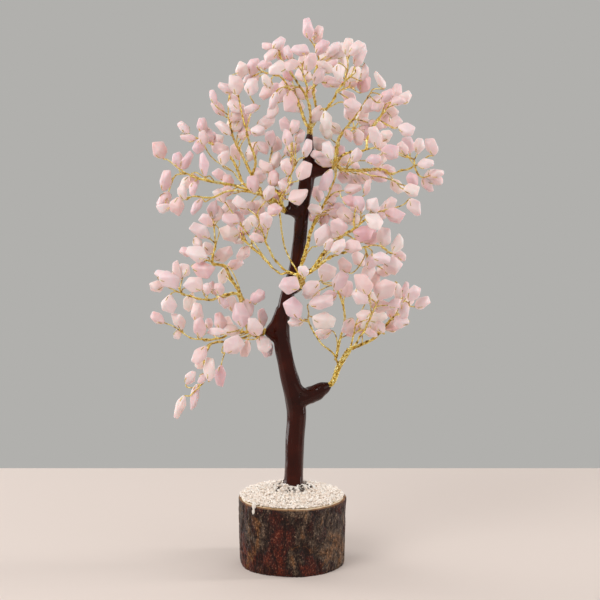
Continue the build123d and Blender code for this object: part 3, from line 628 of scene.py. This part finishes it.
# Crushed quartz heaped in the glue
print("crushed quartz")
quartz = {
    "count": 2700,
    "forms": 5,
    "proportions": (1, 0.72, 0.55),
    "jaggedness": 0.16,
    "smallest": 1.0,
    "largest": 2.7,
    "innerRadius": 5.2,
    "outerRadius": 28.6,
    "crestHeight": 42.2,
    "rimHeight": 38.9,
    "slopeWidth": 14.0,
    "rimReach": 26.4,  # splinters further out than this follow the outline of the log
    "rimGap": 0.9,
    "rimRaggedness": 1.3,
    "smallReach": 25.0,  # they are smaller near the rim
    "smallShare": 0.8,
    "lift": (-0.3, 1.1),
    "rimLift": 0.4,
    "collar": 3.4,  # how much higher the heap stands against the trunk
    "collarWidth": 8.0,
    "tilt": 0.55,  # radians; most splinters lie flat
    "leastTone": 0.1,
    "shadedReach": 12.0,  # splinters this near to the trunk may be painted dark: painted shade and reflection of the trunk
    "shadedShare": 0.3,
    "gluePoints": 96,
    "glueRadius": 27.2,
    "glueRings": 22,
    "glueOpening": 4,  # rings left out in the middle
    "glueDepth": 0.2,  # how far the glue lies below the middles of the splinters
    "glueLumps": 0.5,
    "glueLumpScale": 0.45,
    "glueThickness": 0.8,
}


def heapSlope(reach):
    return max(0.0, min(1.0, (quartz["outerRadius"] - reach) / quartz["slopeWidth"]))


def heapHeight(reach):
    # height of the heap at a distance from the middle, in millimetres
    height = quartz["rimHeight"] + (quartz["crestHeight"] - quartz["rimHeight"]) * heapSlope(reach)
    return height + quartz["collar"] * max(0.0, 1 - (reach - quartz["innerRadius"]) / quartz["collarWidth"])


# glue that stands up between the splinters: rings drawn inwards from the rim to the trunk
bpy.ops.mesh.primitive_circle_add(vertices=quartz["gluePoints"], radius=quartz["glueRadius"])
gluePool = bpy.context.object
editAll(gluePool)
for ring in range(quartz["glueRings"]):
    extrudeUp(0)
    narrowTo(1 - 1 / (quartz["glueRings"] + quartz["glueOpening"] - ring))
bpy.ops.object.mode_set(mode="OBJECT")
for vertex in gluePool.data.vertices:
    lump = noise.noise(vertex.co * quartz["glueLumpScale"])
    top = heapHeight(math.hypot(vertex.co.x, vertex.co.y)) - quartz["glueDepth"] + quartz["glueLumps"] * lump
    vertex.co = Vector((vertex.co.x, vertex.co.y, top)) * mm
editAll(gluePool)
extrudeUp(-quartz["glueThickness"] * mm)
closeEdit()
bpy.ops.object.shade_smooth()
finishPiece(gluePool, "gluePool", clearGlue, [])

splinters = []
for seed in range(quartz["forms"]):
    bpy.ops.mesh.primitive_ico_sphere_add(subdivisions=1, radius=0.5)
    splinter = bpy.context.object
    editAll(splinter)
    bpy.ops.transform.resize(value=quartz["proportions"])
    bpy.ops.transform.vertex_random(offset=quartz["jaggedness"], seed=seed + 3)
    bpy.ops.object.mode_set(mode="OBJECT")
    splinters.append(splinter)

quartzCopies = []
for k in range(quartz["count"]):
    share = math.sqrt(dice.uniform(0, 1))
    reach = quartz["innerRadius"] + (quartz["outerRadius"] - quartz["innerRadius"]) * share
    turn = dice.uniform(0, 2 * math.pi)
    if reach > quartz["rimReach"]:
        ragged = quartz["rimRaggedness"] * noise.noise(Vector((turn * 3, 1, 7)))
        reach = min(reach, logRadius(turn) - quartz["rimGap"] - ragged)
    size = dice.uniform(quartz["smallest"], quartz["largest"])
    size *= quartz["smallShare"] if reach > quartz["smallReach"] else 1
    lift = dice.uniform(*quartz["lift"]) * (quartz["rimLift"] + (1 - quartz["rimLift"]) * heapSlope(reach))
    twin = copyPiece(splinters[k % quartz["forms"]])
    height = heapHeight(reach) + lift
    twin.location = Vector((math.cos(turn) * reach, math.sin(turn) * reach, height)) * mm
    tilt = quartz["tilt"]
    twin.rotation_euler = (dice.gauss(0, tilt), dice.gauss(0, tilt), dice.uniform(0, 6.28))
    twin.scale = [size * mm] * 3
    tones = twin.data.attributes.new("chipTone", "FLOAT", "POINT")
    value = quartz["leastTone"] + (1 - quartz["leastTone"]) * dice.uniform(0, 1)
    # painted shade: some splinters near the trunk get the darkest tone
    if reach < quartz["shadedReach"] and dice.random() < quartz["shadedShare"]:
        value = 0.0
    tones.data.foreach_set("value", [value] * len(twin.data.vertices))
    quartzCopies.append(twin)
quartzPiece = joinPieces(quartzCopies)
bakePlace(quartzPiece)
finishPiece(quartzPiece, "quartzHeap", crushedQuartz,
            ["quartz_inner", "quartz_middle", "quartz_outer"])
for splinter in splinters:
    bpy.data.objects.remove(splinter)


# Trunk: resin limbs grown together
print("trunk")
trunk = {
    # each row: across, up, back and thickness in thousandths of the tree height
    "limbs": [
        [(1, 120, 0, 52), (2, 132, 0, 48), (3, 146, 0, 43), (4, 164, 0, 36), (6, 232, 2, 34),
         (9, 285, 3, 36), (0, 332, 2, 36), (-9, 372, 0, 33), (-17, 410, -3, 31), (-19, 450, -5, 29),
         (-12, 484, -4, 25), (-3, 520, -2, 25), (6, 553, 0, 23), (14, 598, 3, 23), (17, 628, 3, 25),
         (20, 668, 2, 26), (27, 710, 0, 28), (31, 750, 0, 22), (31, 778, 0, 18), (32, 791, 0, 14),
         (33, 800, 0, 8)],
        [(6, 306, 2, 30), (30, 315, 2, 32), (50, 325, 1, 29), (63, 332, 0, 20), (70, 336, 0, 10)],
        [(-14, 421, -2, 34), (-30, 428, -1, 25), (-41, 434, 0, 19), (-48, 436, 0, 13)],
        [(-19, 478, -4, 20), (-29, 450, -3, 19), (-39, 438, -1, 17)],
        [(-14, 440, -9, 12), (-6, 394, -11, 13), (4, 354, -11, 13), (15, 330, -10, 13), (30, 320, -7, 15),
         (50, 326, -5, 17)],
        [(-2, 510, -6, 18), (8, 514, -24, 16), (16, 518, -40, 13), (19, 521, -46, 8)],
        [(15, 652, 0, 26), (2, 658, -3, 21), (-7, 657, -6, 16), (-13, 656, -8, 11)],
        [(6, 652, -3, 20), (0, 665, -5, 13), (-3, 675, -7, 7)],
        [(28, 725, 0, 26), (44, 731, 0, 27), (58, 733, 0, 22), (68, 735, 0, 16), (73, 736, 0, 10)],
    ],
    "step": 1.5,
    "sides": 16,
    "meshSize": 0.5,
    "smoothing": 7,
    "knobHeight": 0.35,
    "knobScale": (0.16, 0.16, 0.07),
    "ridgeHeight": 0.45,  # ridges run lengthways
    "ridgeScale": (0.34, 0.34, 0.025),
}
limbPieces = []
for limb in trunk["limbs"]:
    rows = [(*treePlace(share), share[3] / 2000 * studio["treeHeight"]) for share in limb]
    route = smoothRoute(rows, trunk["step"])
    limbPieces.append(curvePiece([[(Vector(row[:3]), row[3]) for row in route]], trunk["sides"]))
trunkPiece = joinPieces(limbPieces)
applyModifier(trunkPiece, "REMESH", {"mode": "VOXEL", "voxel_size": trunk["meshSize"] * mm})
applyModifier(trunkPiece, "SMOOTH", {"factor": 0.5, "iterations": trunk["smoothing"]})
for vertex in trunkPiece.data.vertices:
    at = vertex.co / mm
    knob = noise.noise(at * Vector(trunk["knobScale"]))
    ridge = noise.noise(at * Vector(trunk["ridgeScale"]) + Vector((0, 0, 9)))
    vertex.co += vertex.normal * (trunk["knobHeight"] * knob + trunk["ridgeHeight"] * ridge) * mm
bpy.ops.object.shade_smooth()
finishPiece(trunkPiece, "resinTrunk", darkResin, ["trunk_shell", "trunk_core"])


# Gold wire: every chip has its own twisted pair, and the pairs join in thicker twists
print("wire")
wire = {
    "diameter": 0.43,
    "packing": 0.14,  # how far from the middle the pairs of a twist lie, for a power of their number
    "packingPower": 0.7,
    "stemPacking": 0.25,
    "stemRings": ((0.5, 4), (0.86, 9)),  # share of the stem's radius, number of pairs
    "stemSlack": 0.12,
    "stemStep": 0.3,
    "shootStep": 0.4,
    "twigStep": 0.35,
    "twigSmoothing": 3,
    "handles": 0.25,  # share of its length that a twig starts and ends straight
    "pairPitch": 1.9,
    "twistPitch": 9.0,
    "pairTurn": 2.4,  # radians from each pair of a twist to the next
    "looseness": 0.2,
    "setBack": 0.6,  # share of its length by which a twig leaves its shoot before the nearest place
    "overChip": 0.15,
    "sides": 4,
    "stems": {
        "top": [(33, 792, 0), (33, 803, 0), (34, 813, 0)],
        "right": [(29, 727, 0), (58, 733, 0), (72, 736, 0), (80, 740, 0)],
        "upper_left": [(19, 656, 0), (2, 660, -3), (-13, 658, -8), (-30, 672, -14), (-50, 684, -20)],
        "middle": [(-4, 512, -4), (8, 514, -24), (18, 520, -45), (17, 532, -60), (12, 541, -70)],
        "lower_left": [(-18, 426, -3), (-47, 436, 0), (-59, 429, -4), (-72, 434, -8), (-85, 456, -12)],
        "lower_right": [(5, 306, 2), (50, 325, 1), (68, 335, 0), (77, 345, 0), (86, 370, 0),
                        (105, 402, -8)],
    },
    "stemTwigs": {"top": 37, "right": 36, "upper_left": 47, "middle": 47, "lower_left": 44,
                  "lower_right": 30},
}
# shoots of each branch, as across and up in thousandths of the tree height, back in hundredths of the reach
shootShares = {
    "top_left": [
        [(33, 806, 2), (24, 818, 12), (11, 854, 22), (-18, 896, 24), (-31, 900, 20), (-59, 909, 8)],
        [(-31, 900, 20), (-45, 883, 6)],
        [(33, 806, 2), (31, 851, -10), (-1, 904, -22), (-25, 938, -26)],
    ],
    "top_crest": [
        [(34, 808, -2), (34, 830, -20), (27, 865, -36), (28, 879, -40), (20, 905, -40), (22, 932, -40)],
        [(20, 905, -40), (12, 917, -32), (-1, 927, -28)],
        [(34, 808, -2), (50, 832, 12), (43, 847, 16), (40, 871, 18), (42, 905, 16), (49, 927, 10),
         (37, 960, 0)],
        [(42, 880, 18), (60, 903, 46)],
    ],
    "top_right": [
        [(34, 806, -6), (51, 831, -8), (67, 844, -10), (82, 871, -12), (96, 890, -14), (121, 909, -16)],
        [(96, 890, -14), (99, 905, -24), (102, 925, -28)],
        [(82, 871, -12), (98, 877, 2), (113, 882, 8)],
    ],
    "right_upper": [
        [(78, 739, 2), (83, 777, 12), (90, 795, 16), (121, 837, 22), (128, 852, 24)],
        [(121, 837, 22), (130, 850, 12), (149, 882, -4)],
        [(90, 795, 16), (106, 800, 36), (118, 812, 50)],
    ],
    "right_rising": [
        [(78, 739, -4), (96, 760, -16), (132, 767, -22), (137, 790, -14), (156, 821, -6), (180, 854, -6)],
        [(156, 821, -6), (182, 807, -22), (195, 802, -24)],
        [(132, 767, -22), (157, 773, -38)],
    ],
    "right_far": [
        [(78, 739, 4), (97, 731, 8), (130, 730, 8), (163, 731, 4), (182, 725, 0), (221, 738, -6),
         (250, 759, -10)],
        [(221, 738, -6), (229, 722, -12), (242, 713, -16)],
        [(221, 738, -6), (218, 751, 4), (192, 755, 12)],
        [(78, 739, 4), (95, 729, -16), (115, 731, -20), (135, 723, -22), (180, 713, -22),
         (204, 695, -22)],
        [(95, 729, -16), (110, 744, -30), (128, 749, -36)],
    ],
    "left_long": [
        [(-50, 684, -12), (-100, 702, -14), (-150, 711, -14), (-188, 724, -12), (-230, 755, -8)],
        [(-188, 724, -12), (-207, 722, -18), (-219, 715, -20)],
        [(-138, 709, -14), (-152, 726, -28)],
        [(-50, 684, -12), (-83, 692, -24), (-116, 692, -28), (-143, 681, -30), (-176, 683, -30),
         (-192, 679, -30)],
        [(-143, 681, -30), (-160, 670, -18)],
    ],
    "left_third": [
        [(-50, 684, -8), (-88, 707, 6), (-107, 729, 10), (-136, 747, 14), (-146, 758, 14)],
        [(-88, 707, 6), (-98, 734, 18), (-112, 756, 22), (-138, 775, 24), (-170, 789, 20)],
    ],
    "left_upper": [
        [(-50, 684, -2), (-60, 700, 8), (-71, 720, 14), (-84, 748, 18), (-104, 789, 18), (-116, 842, 18)],
        [(-71, 720, 14), (-65, 750, 2), (-80, 800, -4), (-67, 852, -10), (-76, 866, -10)],
        [(-80, 800, -4), (-88, 828, 2), (-95, 866, 6)],
    ],
    "left_inner": [
        [(-16, 659, -10), (-20, 686, -16), (-8, 704, -18), (-4, 728, -18), (-9, 750, -16)],
        [(-7, 712, -18), (16, 756, -30)],
        [(-20, 686, -16), (-33, 702, -4), (-33, 726, 6), (-42, 758, 8)],
    ],
    "middle_left": [
        [(12, 540, -44), (-10, 544, -34), (-35, 554, -26), (-120, 673, -14)],
        [(-35, 554, -26), (-55, 576, -10), (-95, 611, 6)],
        [(12, 540, -44), (-8, 547, -40), (-20, 556, -38), (-35, 575, -40), (-47, 603, -42),
         (-61, 648, -42), (-55, 662, -40)],
        [(-47, 603, -42), (-40, 632, -48)],
        [(12, 540, -44), (8, 517, -56)],
    ],
    "middle_tall": [
        [(13, 541, -42), (-12, 590, -34), (-21, 652, -36), (-20, 676, -38), (-4, 705, -44),
         (2, 722, -44)],
        [(13, 541, -42), (25, 580, -26), (38, 628, -16), (62, 676, -12), (80, 724, -14), (74, 747, -14)],
        [(24, 574, -28), (41, 597, -38)],
        [(62, 676, -12), (78, 690, -20), (92, 692, -24)],
    ],
    "middle_right": [
        [(15, 540, -48), (36, 548, -40), (62, 584, -34), (98, 616, -32), (114, 624, -30),
         (147, 651, -24), (195, 665, -20), (208, 673, -20)],
        [(62, 584, -34), (59, 593, -42)],
        [(114, 624, -30), (113, 645, -20), (118, 672, -16), (129, 685, -16)],
        [(98, 616, -32), (112, 606, 0), (124, 604, 20)],
    ],
    "middle_right_low": [
        [(15, 538, -52), (36, 546, -50), (68, 571, -50), (100, 583, -48), (136, 592, -42),
         (160, 594, -38)],
        [(132, 591, -42), (140, 571, -34), (152, 562, -30), (156, 550, -28)],
        [(136, 592, -42), (152, 580, -50)],
        [(160, 594, -38), (172, 586, -30), (180, 576, -26)],
    ],
    "lower_left_upper": [
        [(-85, 455, -8), (-88, 487, -6), (-92, 503, -8), (-112, 537, -8), (-122, 556, -8),
         (-143, 563, -8), (-138, 598, -2), (-142, 643, 2)],
        [(-112, 537, -8), (-128, 535, -16), (-153, 526, -22)],
        [(-143, 563, -8), (-155, 573, -20)],
        [(-138, 598, -2), (-152, 610, -10)],
    ],
    "lower_left_middle": [
        [(-86, 456, -14), (-96, 501, -20), (-118, 504, -22), (-152, 494, -22), (-200, 506, -18),
         (-234, 523, -18)],
        [(-200, 506, -18), (-207, 522, -12)],
        [(-152, 494, -22), (-163, 507, -34)],
    ],
    "lower_left_low": [
        [(-73, 436, -4), (-115, 430, -8), (-130, 423, -10), (-170, 421, -12), (-190, 427, -12),
         (-217, 446, -12), (-236, 451, -12)],
        [(-100, 431, -7), (-95, 446, -20)],
    ],
    "lower_left_hanging": [
        [(-72, 432, 2), (-92, 423, 6), (-112, 416, 6), (-118, 408, 6), (-129, 375, 12)],
        [(-112, 416, 6), (-135, 416, 0), (-150, 409, -4), (-160, 383, -4), (-156, 360, -6),
         (-161, 342, -8), (-190, 312, -10)],
    ],
    "lower_right_inner": [
        [(86, 371, 2), (81, 384, -6), (75, 396, -12), (52, 416, -20), (30, 458, -32), (40, 480, -36)],
        [(81, 384, -6), (87, 415, 2), (97, 465, -4), (84, 510, -10), (75, 520, -14), (52, 524, -22),
         (40, 532, -26)],
        [(75, 520, -14), (73, 531, -6), (70, 540, -4)],
    ],
    "lower_right_fan": [
        [(105, 402, -8), (118, 415, -20), (143, 462, -32), (140, 512, -42)],
        [(143, 462, -32), (161, 500, -48)],
        [(105, 402, -8), (110, 416, -12), (120, 462, -20), (129, 487, -24)],
        [(120, 462, -20), (110, 475, -26), (116, 486, -32)],
    ],
    "lower_right_outer": [
        [(105, 402, -2), (150, 423, 0), (187, 463, -6), (213, 475, -10), (228, 481, -12)],
        [(213, 475, -10), (215, 494, -18)],
    ],
}

pairRadius = wire["diameter"]  # two strands side by side

for stem, shares in wire["stems"].items():
    route = smoothRoute([treePlace(share) for share in shares], wire["stemStep"])
    strands = []
    for ring, count in wire["stemRings"]:
        reach = pairRadius + wire["stemPacking"] * math.sqrt(wire["stemTwigs"][stem]) * ring
        for pair in twistStrands(route, reach, count, wire["twistPitch"], wire["stemSlack"]):
            centre = [point for point, thick in pair]
            strands += twistStrands(centre, pairRadius, 2, wire["pairPitch"])
    stemPiece = curvePiece(strands, wire["sides"])
    finishPiece(stemPiece, "stemTwist_" + stem, goldWire, ["stem_" + stem])

# Rose quartz chips: the solid chips with tumbled edges, on their twigs, and more behind and between them
chip = {
    "footEdge": 0.9 * math.sqrt(3) * mm,  # side of the small three-cornered foot of each solid chip
    "footTolerance": 0.02 * mm,
    "tumbling": 0.7,
    "edgeAngle": 0.2,  # radians; flatter edges stay as they are
    "softening": 1,
    "swelling": (1.3, 1.12, 1.1),  # through the thickness, across and along each chip
    "tone": 0.44,
    "toneSpread": 0.15,
    "hole": 3.0,  # millimetres from the foot to the drilled hole
    "holeDepth": 0.3,
    "widest": 12.0,
    "extraSize": (9.4, 6.0, 12.6),
    "extraShares": (0.8, 1.05),
    "extraForms": 7,
    "extraJaggedness": 0.11,
    "extraFoot": 0.42,  # share of its length from the middle of a further chip to its foot
    "extraLean": 0.6,  # how much a further chip follows its shoot, and over how many samples each way
    "extraSpan": 5,
    "extraPull": 1 / 8,  # how much each millimetre from its shoot turns it outwards
}
# middles of the further chips, as shares like those of the shoots
extraChips = [
    (-72, 893, 20), (-96, 833, 25), (-101, 815, 32), (-8, 879, 40), (14, 868, 42), (8, 846, 30),
    (-84, 797, 30), (-46, 816, 36), (74, 946, 10), (88, 944, 22), (112, 902, 10), (107, 886, 30),
    (80, 886, 30), (22, 899, 42), (28, 868, 46), (45, 831, -10), (76, 806, 30), (152, 852, 20),
    (152, 812, 22), (-128, 768, 26), (-229, 676, -12), (-112, 662, 20), (-134, 652, 10), (-80, 662, 12),
    (-45, 674, 4), (-32, 716, -6), (-12, 707, 8), (-28, 748, 6), (2, 768, 22), (-23, 684, 6),
    (-96, 645, 26), (-86, 624, 20), (-96, 606, 22), (-55, 622, 20), (62, 800, 12), (48, 778, 20),
    (57, 748, -8), (84, 766, 30), (93, 750, 30), (95, 718, 24), (112, 712, 32), (130, 717, 30),
    (156, 720, 12), (174, 731, 22), (78, 695, 10), (70, 677, 20), (66, 660, 26), (84, 662, 20),
    (98, 650, -12), (111, 642, -10), (80, 651, 4), (120, 664, 6), (42, 648, 0), (166, 656, 20),
    (258, 713, -6), (78, 614, 0), (194, 574, 6), (168, 547, 12), (98, 516, 20), (36, 508, 10),
    (146, 497, 20), (128, 448, 16), (150, 446, 10), (110, 437, 16), (186, 446, 6), (204, 498, 10),
    (-62, 500, -12), (-196, 548, 6), (-152, 588, 10), (-84, 476, -6), (-112, 438, -10), (-66, 437, -10),
    (-50, 411, -16), (-164, 378, 6), (-100, 845, 12), (-70, 765, 20), (-60, 720, 26), (120, 945, 14),
    (60, 915, -20), (135, 800, 24), (160, 775, 10), (-150, 795, 30), (-120, 690, 14), (140, 622, 10),
]


def chipIslands(mesh):
    # vertex numbers of each chip in a mesh
    links = [[] for vertex in mesh.vertices]
    for edge in mesh.edges:
        a, b = edge.vertices
        links[a].append(b)
        links[b].append(a)
    seenVertices = set()
    islands = []
    for first in range(len(links)):
        if first in seenVertices:
            continue
        island = [first]
        seenVertices.add(first)
        for number in island:
            for other in links[number]:
                if other not in seenVertices:
                    seenVertices.add(other)
                    island.append(other)
        islands.append(island)
    return islands


def nearestSample(routes, point):
    best = None
    for number, route in enumerate(routes):
        for index, sample in enumerate(route):
            distance = (point - sample).length
            if best is None or distance < best[0]:
                best = (distance, number, index)
    return best


stones = []
for seed in range(chip["extraForms"]):
    bpy.ops.mesh.primitive_ico_sphere_add(subdivisions=1, radius=0.5)
    stone = bpy.context.object
    editAll(stone)
    bpy.ops.transform.vertex_random(offset=chip["extraJaggedness"], seed=seed)
    bpy.ops.transform.resize(value=[size * mm for size in chip["extraSize"]], center_override=(0, 0, 0))
    bpy.ops.object.mode_set(mode="OBJECT")
    stones.append(stone)

# each further chip goes to the branch nearest to it
branchRoutes = {}
for branch, shoots in shootShares.items():
    branchRoutes[branch] = [smoothRoute([crownPlace(share) for share in shoot], wire["shootStep"])
                            for shoot in shoots]
extras = {branch: [] for branch in shootShares}
footReach = chip["extraFoot"] * chip["extraSize"][2]
for number, share in enumerate(extraChips):
    middle = crownPlace(share)
    nearest = min(extras, key=lambda branch: nearestSample(branchRoutes[branch], middle)[0])
    distance, shoot, index = nearestSample(branchRoutes[nearest], middle)
    route = branchRoutes[nearest][shoot]
    before, after = max(index - chip["extraSpan"], 0), min(index + chip["extraSpan"], len(route) - 1)
    onward = (route[after] - route[before]).normalized()
    along = ((middle - route[index]) * chip["extraPull"] + onward * chip["extraLean"]).normalized()
    size = dice.uniform(*chip["extraShares"])
    extras[nearest].append((middle - along * size * footReach, along, size, number))

footCount = 0
for branch, routes in branchRoutes.items():
    node = frame["nodes"][branch + "_chips"]
    chipPiece = bpy.data.objects.new("chips", node.data.copy())
    scene.collection.objects.link(chipPiece)
    editAll(chipPiece)
    bpy.ops.mesh.remove_doubles(threshold=0.002 * mm)
    bpy.ops.object.mode_set(mode="OBJECT")
    mesh = chipPiece.data
    feet = []
    for face in mesh.polygons:
        corners = [mesh.vertices[number].co for number in face.vertices]
        edges = [(a - b).length for a, b in zip(corners, corners[1:] + corners[:1])]
        if len(corners) == 3 and max(abs(edge - chip["footEdge"]) for edge in edges) < chip["footTolerance"]:
            feet.append((face.center / mm, -face.normal.copy()))
    twins = []
    for foot, along, size, number in extras[branch]:
        twin = copyPiece(stones[number % chip["extraForms"]])
        twin.location = (foot + along * size * footReach) * mm
        twin.rotation_euler = along.to_track_quat("Z", "Y").to_euler()
        twin.scale = [size] * 3
        twins.append(twin)
        feet.append((foot, along))
    if twins:
        joinPieces([chipPiece] + twins)
    footCount += len(feet)

    # each chip has its own tone, and is a little fuller than its plain solid
    tones = mesh.attributes.new("chipTone", "FLOAT", "POINT")
    for island in chipIslands(mesh):
        value = min(1.0, max(0.0, dice.gauss(chip["tone"], chip["toneSpread"])))
        points = numpy.array([mesh.vertices[number].co for number in island])
        middle = points.mean(axis=0)
        axes = numpy.linalg.eigh(numpy.cov((points - middle).T))[1]  # thinnest way first
        fuller = middle + ((points - middle) @ axes * chip["swelling"]) @ axes.T
        for number, point in zip(island, fuller):
            tones.data[number].value = value
            mesh.vertices[number].co = [min(max(at, low), high)
                                        for at, low, high in zip(point, cadBox[0], cadBox[1])]

    # each pair leaves its shoot a little before the place nearest to its chip
    joins = [(0, 0)]
    for later in range(1, len(routes)):
        joins.append(nearestSample(routes[:later], routes[later][0])[1:])
    leaves = []
    for foot, along in feet:
        distance, number, index = nearestSample(routes, foot)
        left = distance * wire["setBack"]
        while left > 0 and index > 0:
            left -= (routes[number][index] - routes[number][index - 1]).length
            index -= 1
        chain = [(number, index)]
        while chain[0][0] > 0:
            chain.insert(0, joins[chain[0][0]])
        leaves.append(chain)
    frames = [routeFrames(route) for route in routes]

    strands = []
    corners = [vertex.co / mm for vertex in mesh.vertices]
    stoneTree = BVHTree.FromPolygons(corners, [face.vertices for face in mesh.polygons])
    for (foot, along), chain in zip(feet, leaves):
        centre = []
        for number, last in chain:
            # the pairs that go furthest lie in the middle of the twist
            rank = sum(1 for other in leaves for step in other
                       if step[0] == number and (step[1] > last or step[1] == last and other is not chain))
            reach = wire["packing"] * rank ** wire["packingPower"]
            for index in range(last + 1):
                point, side, up, travelled = frames[number][index]
                turn = wire["pairTurn"] * rank + 2 * math.pi * travelled / wire["twistPitch"]
                loose = reach * (1 + wire["looseness"] * math.sin(travelled * 0.9 + 1.7 * rank))
                centre.append(point + (side * math.cos(turn) + up * math.sin(turn)) * loose)

        # from the shoot to the chip along a smooth curve
        start = centre[-1]
        before = centre[-4] if len(centre) > 3 else centre[0]
        ahead = (start - before).normalized() if (start - before).length > 0.01 else along
        length = (foot - start).length
        out = start + ahead * length * wire["handles"]
        back = foot - along * length * wire["handles"]
        steps = max(6, int(length / wire["twigStep"]))
        for k in range(1, steps + 1):
            t = k / steps
            centre.append(start * (1 - t) ** 3 + out * 3 * t * (1 - t) ** 2 + back * 3 * t * t * (1 - t)
                          + foot * t ** 3)
        for k in range(wire["twigSmoothing"]):
            centre[1:-1] = [(a + b * 2 + c) / 4 for a, b, c in zip(centre, centre[1:], centre[2:])]
        pair = twistStrands(centre, pairRadius, 2, wire["pairPitch"])

        # one strand each side of the chip, into its hole
        side = along.orthogonal().normalized()
        if abs(side.y) < 0.5:
            side = along.cross(side).normalized()
        thick = pairRadius / 2
        for strand, turn in zip(pair, (1, -1)):
            for part in (1, 2, 3):
                outside = foot + along * (chip["hole"] * part / 3) + side * (turn * chip["widest"] / 2)
                hit = stoneTree.ray_cast(outside, side * -turn, chip["widest"])[0]
                if hit is not None:
                    strand.append((hit + side * turn * wire["overChip"], thick))
            strand.append((foot + along * (chip["hole"] + chip["holeDepth"]), thick))
        strands += pair
    twigPiece = curvePiece(strands, wire["sides"])
    finishPiece(twigPiece, "goldTwigs_" + branch, goldWire, [branch + "_wire"])

    applyModifier(chipPiece, "BEVEL", {"width": chip["tumbling"] * mm, "segments": 2,
                                       "limit_method": "ANGLE", "angle_limit": chip["edgeAngle"]})
    applyModifier(chipPiece, "SMOOTH", {"factor": 0.5, "iterations": chip["softening"]})
    activate(chipPiece)
    bpy.ops.object.shade_smooth()
    finishPiece(chipPiece, "roseChips_" + branch, roseQuartz, [branch + "_chips"])
for stone in stones:
    bpy.data.objects.remove(stone)
print("chips on twigs:", footCount)
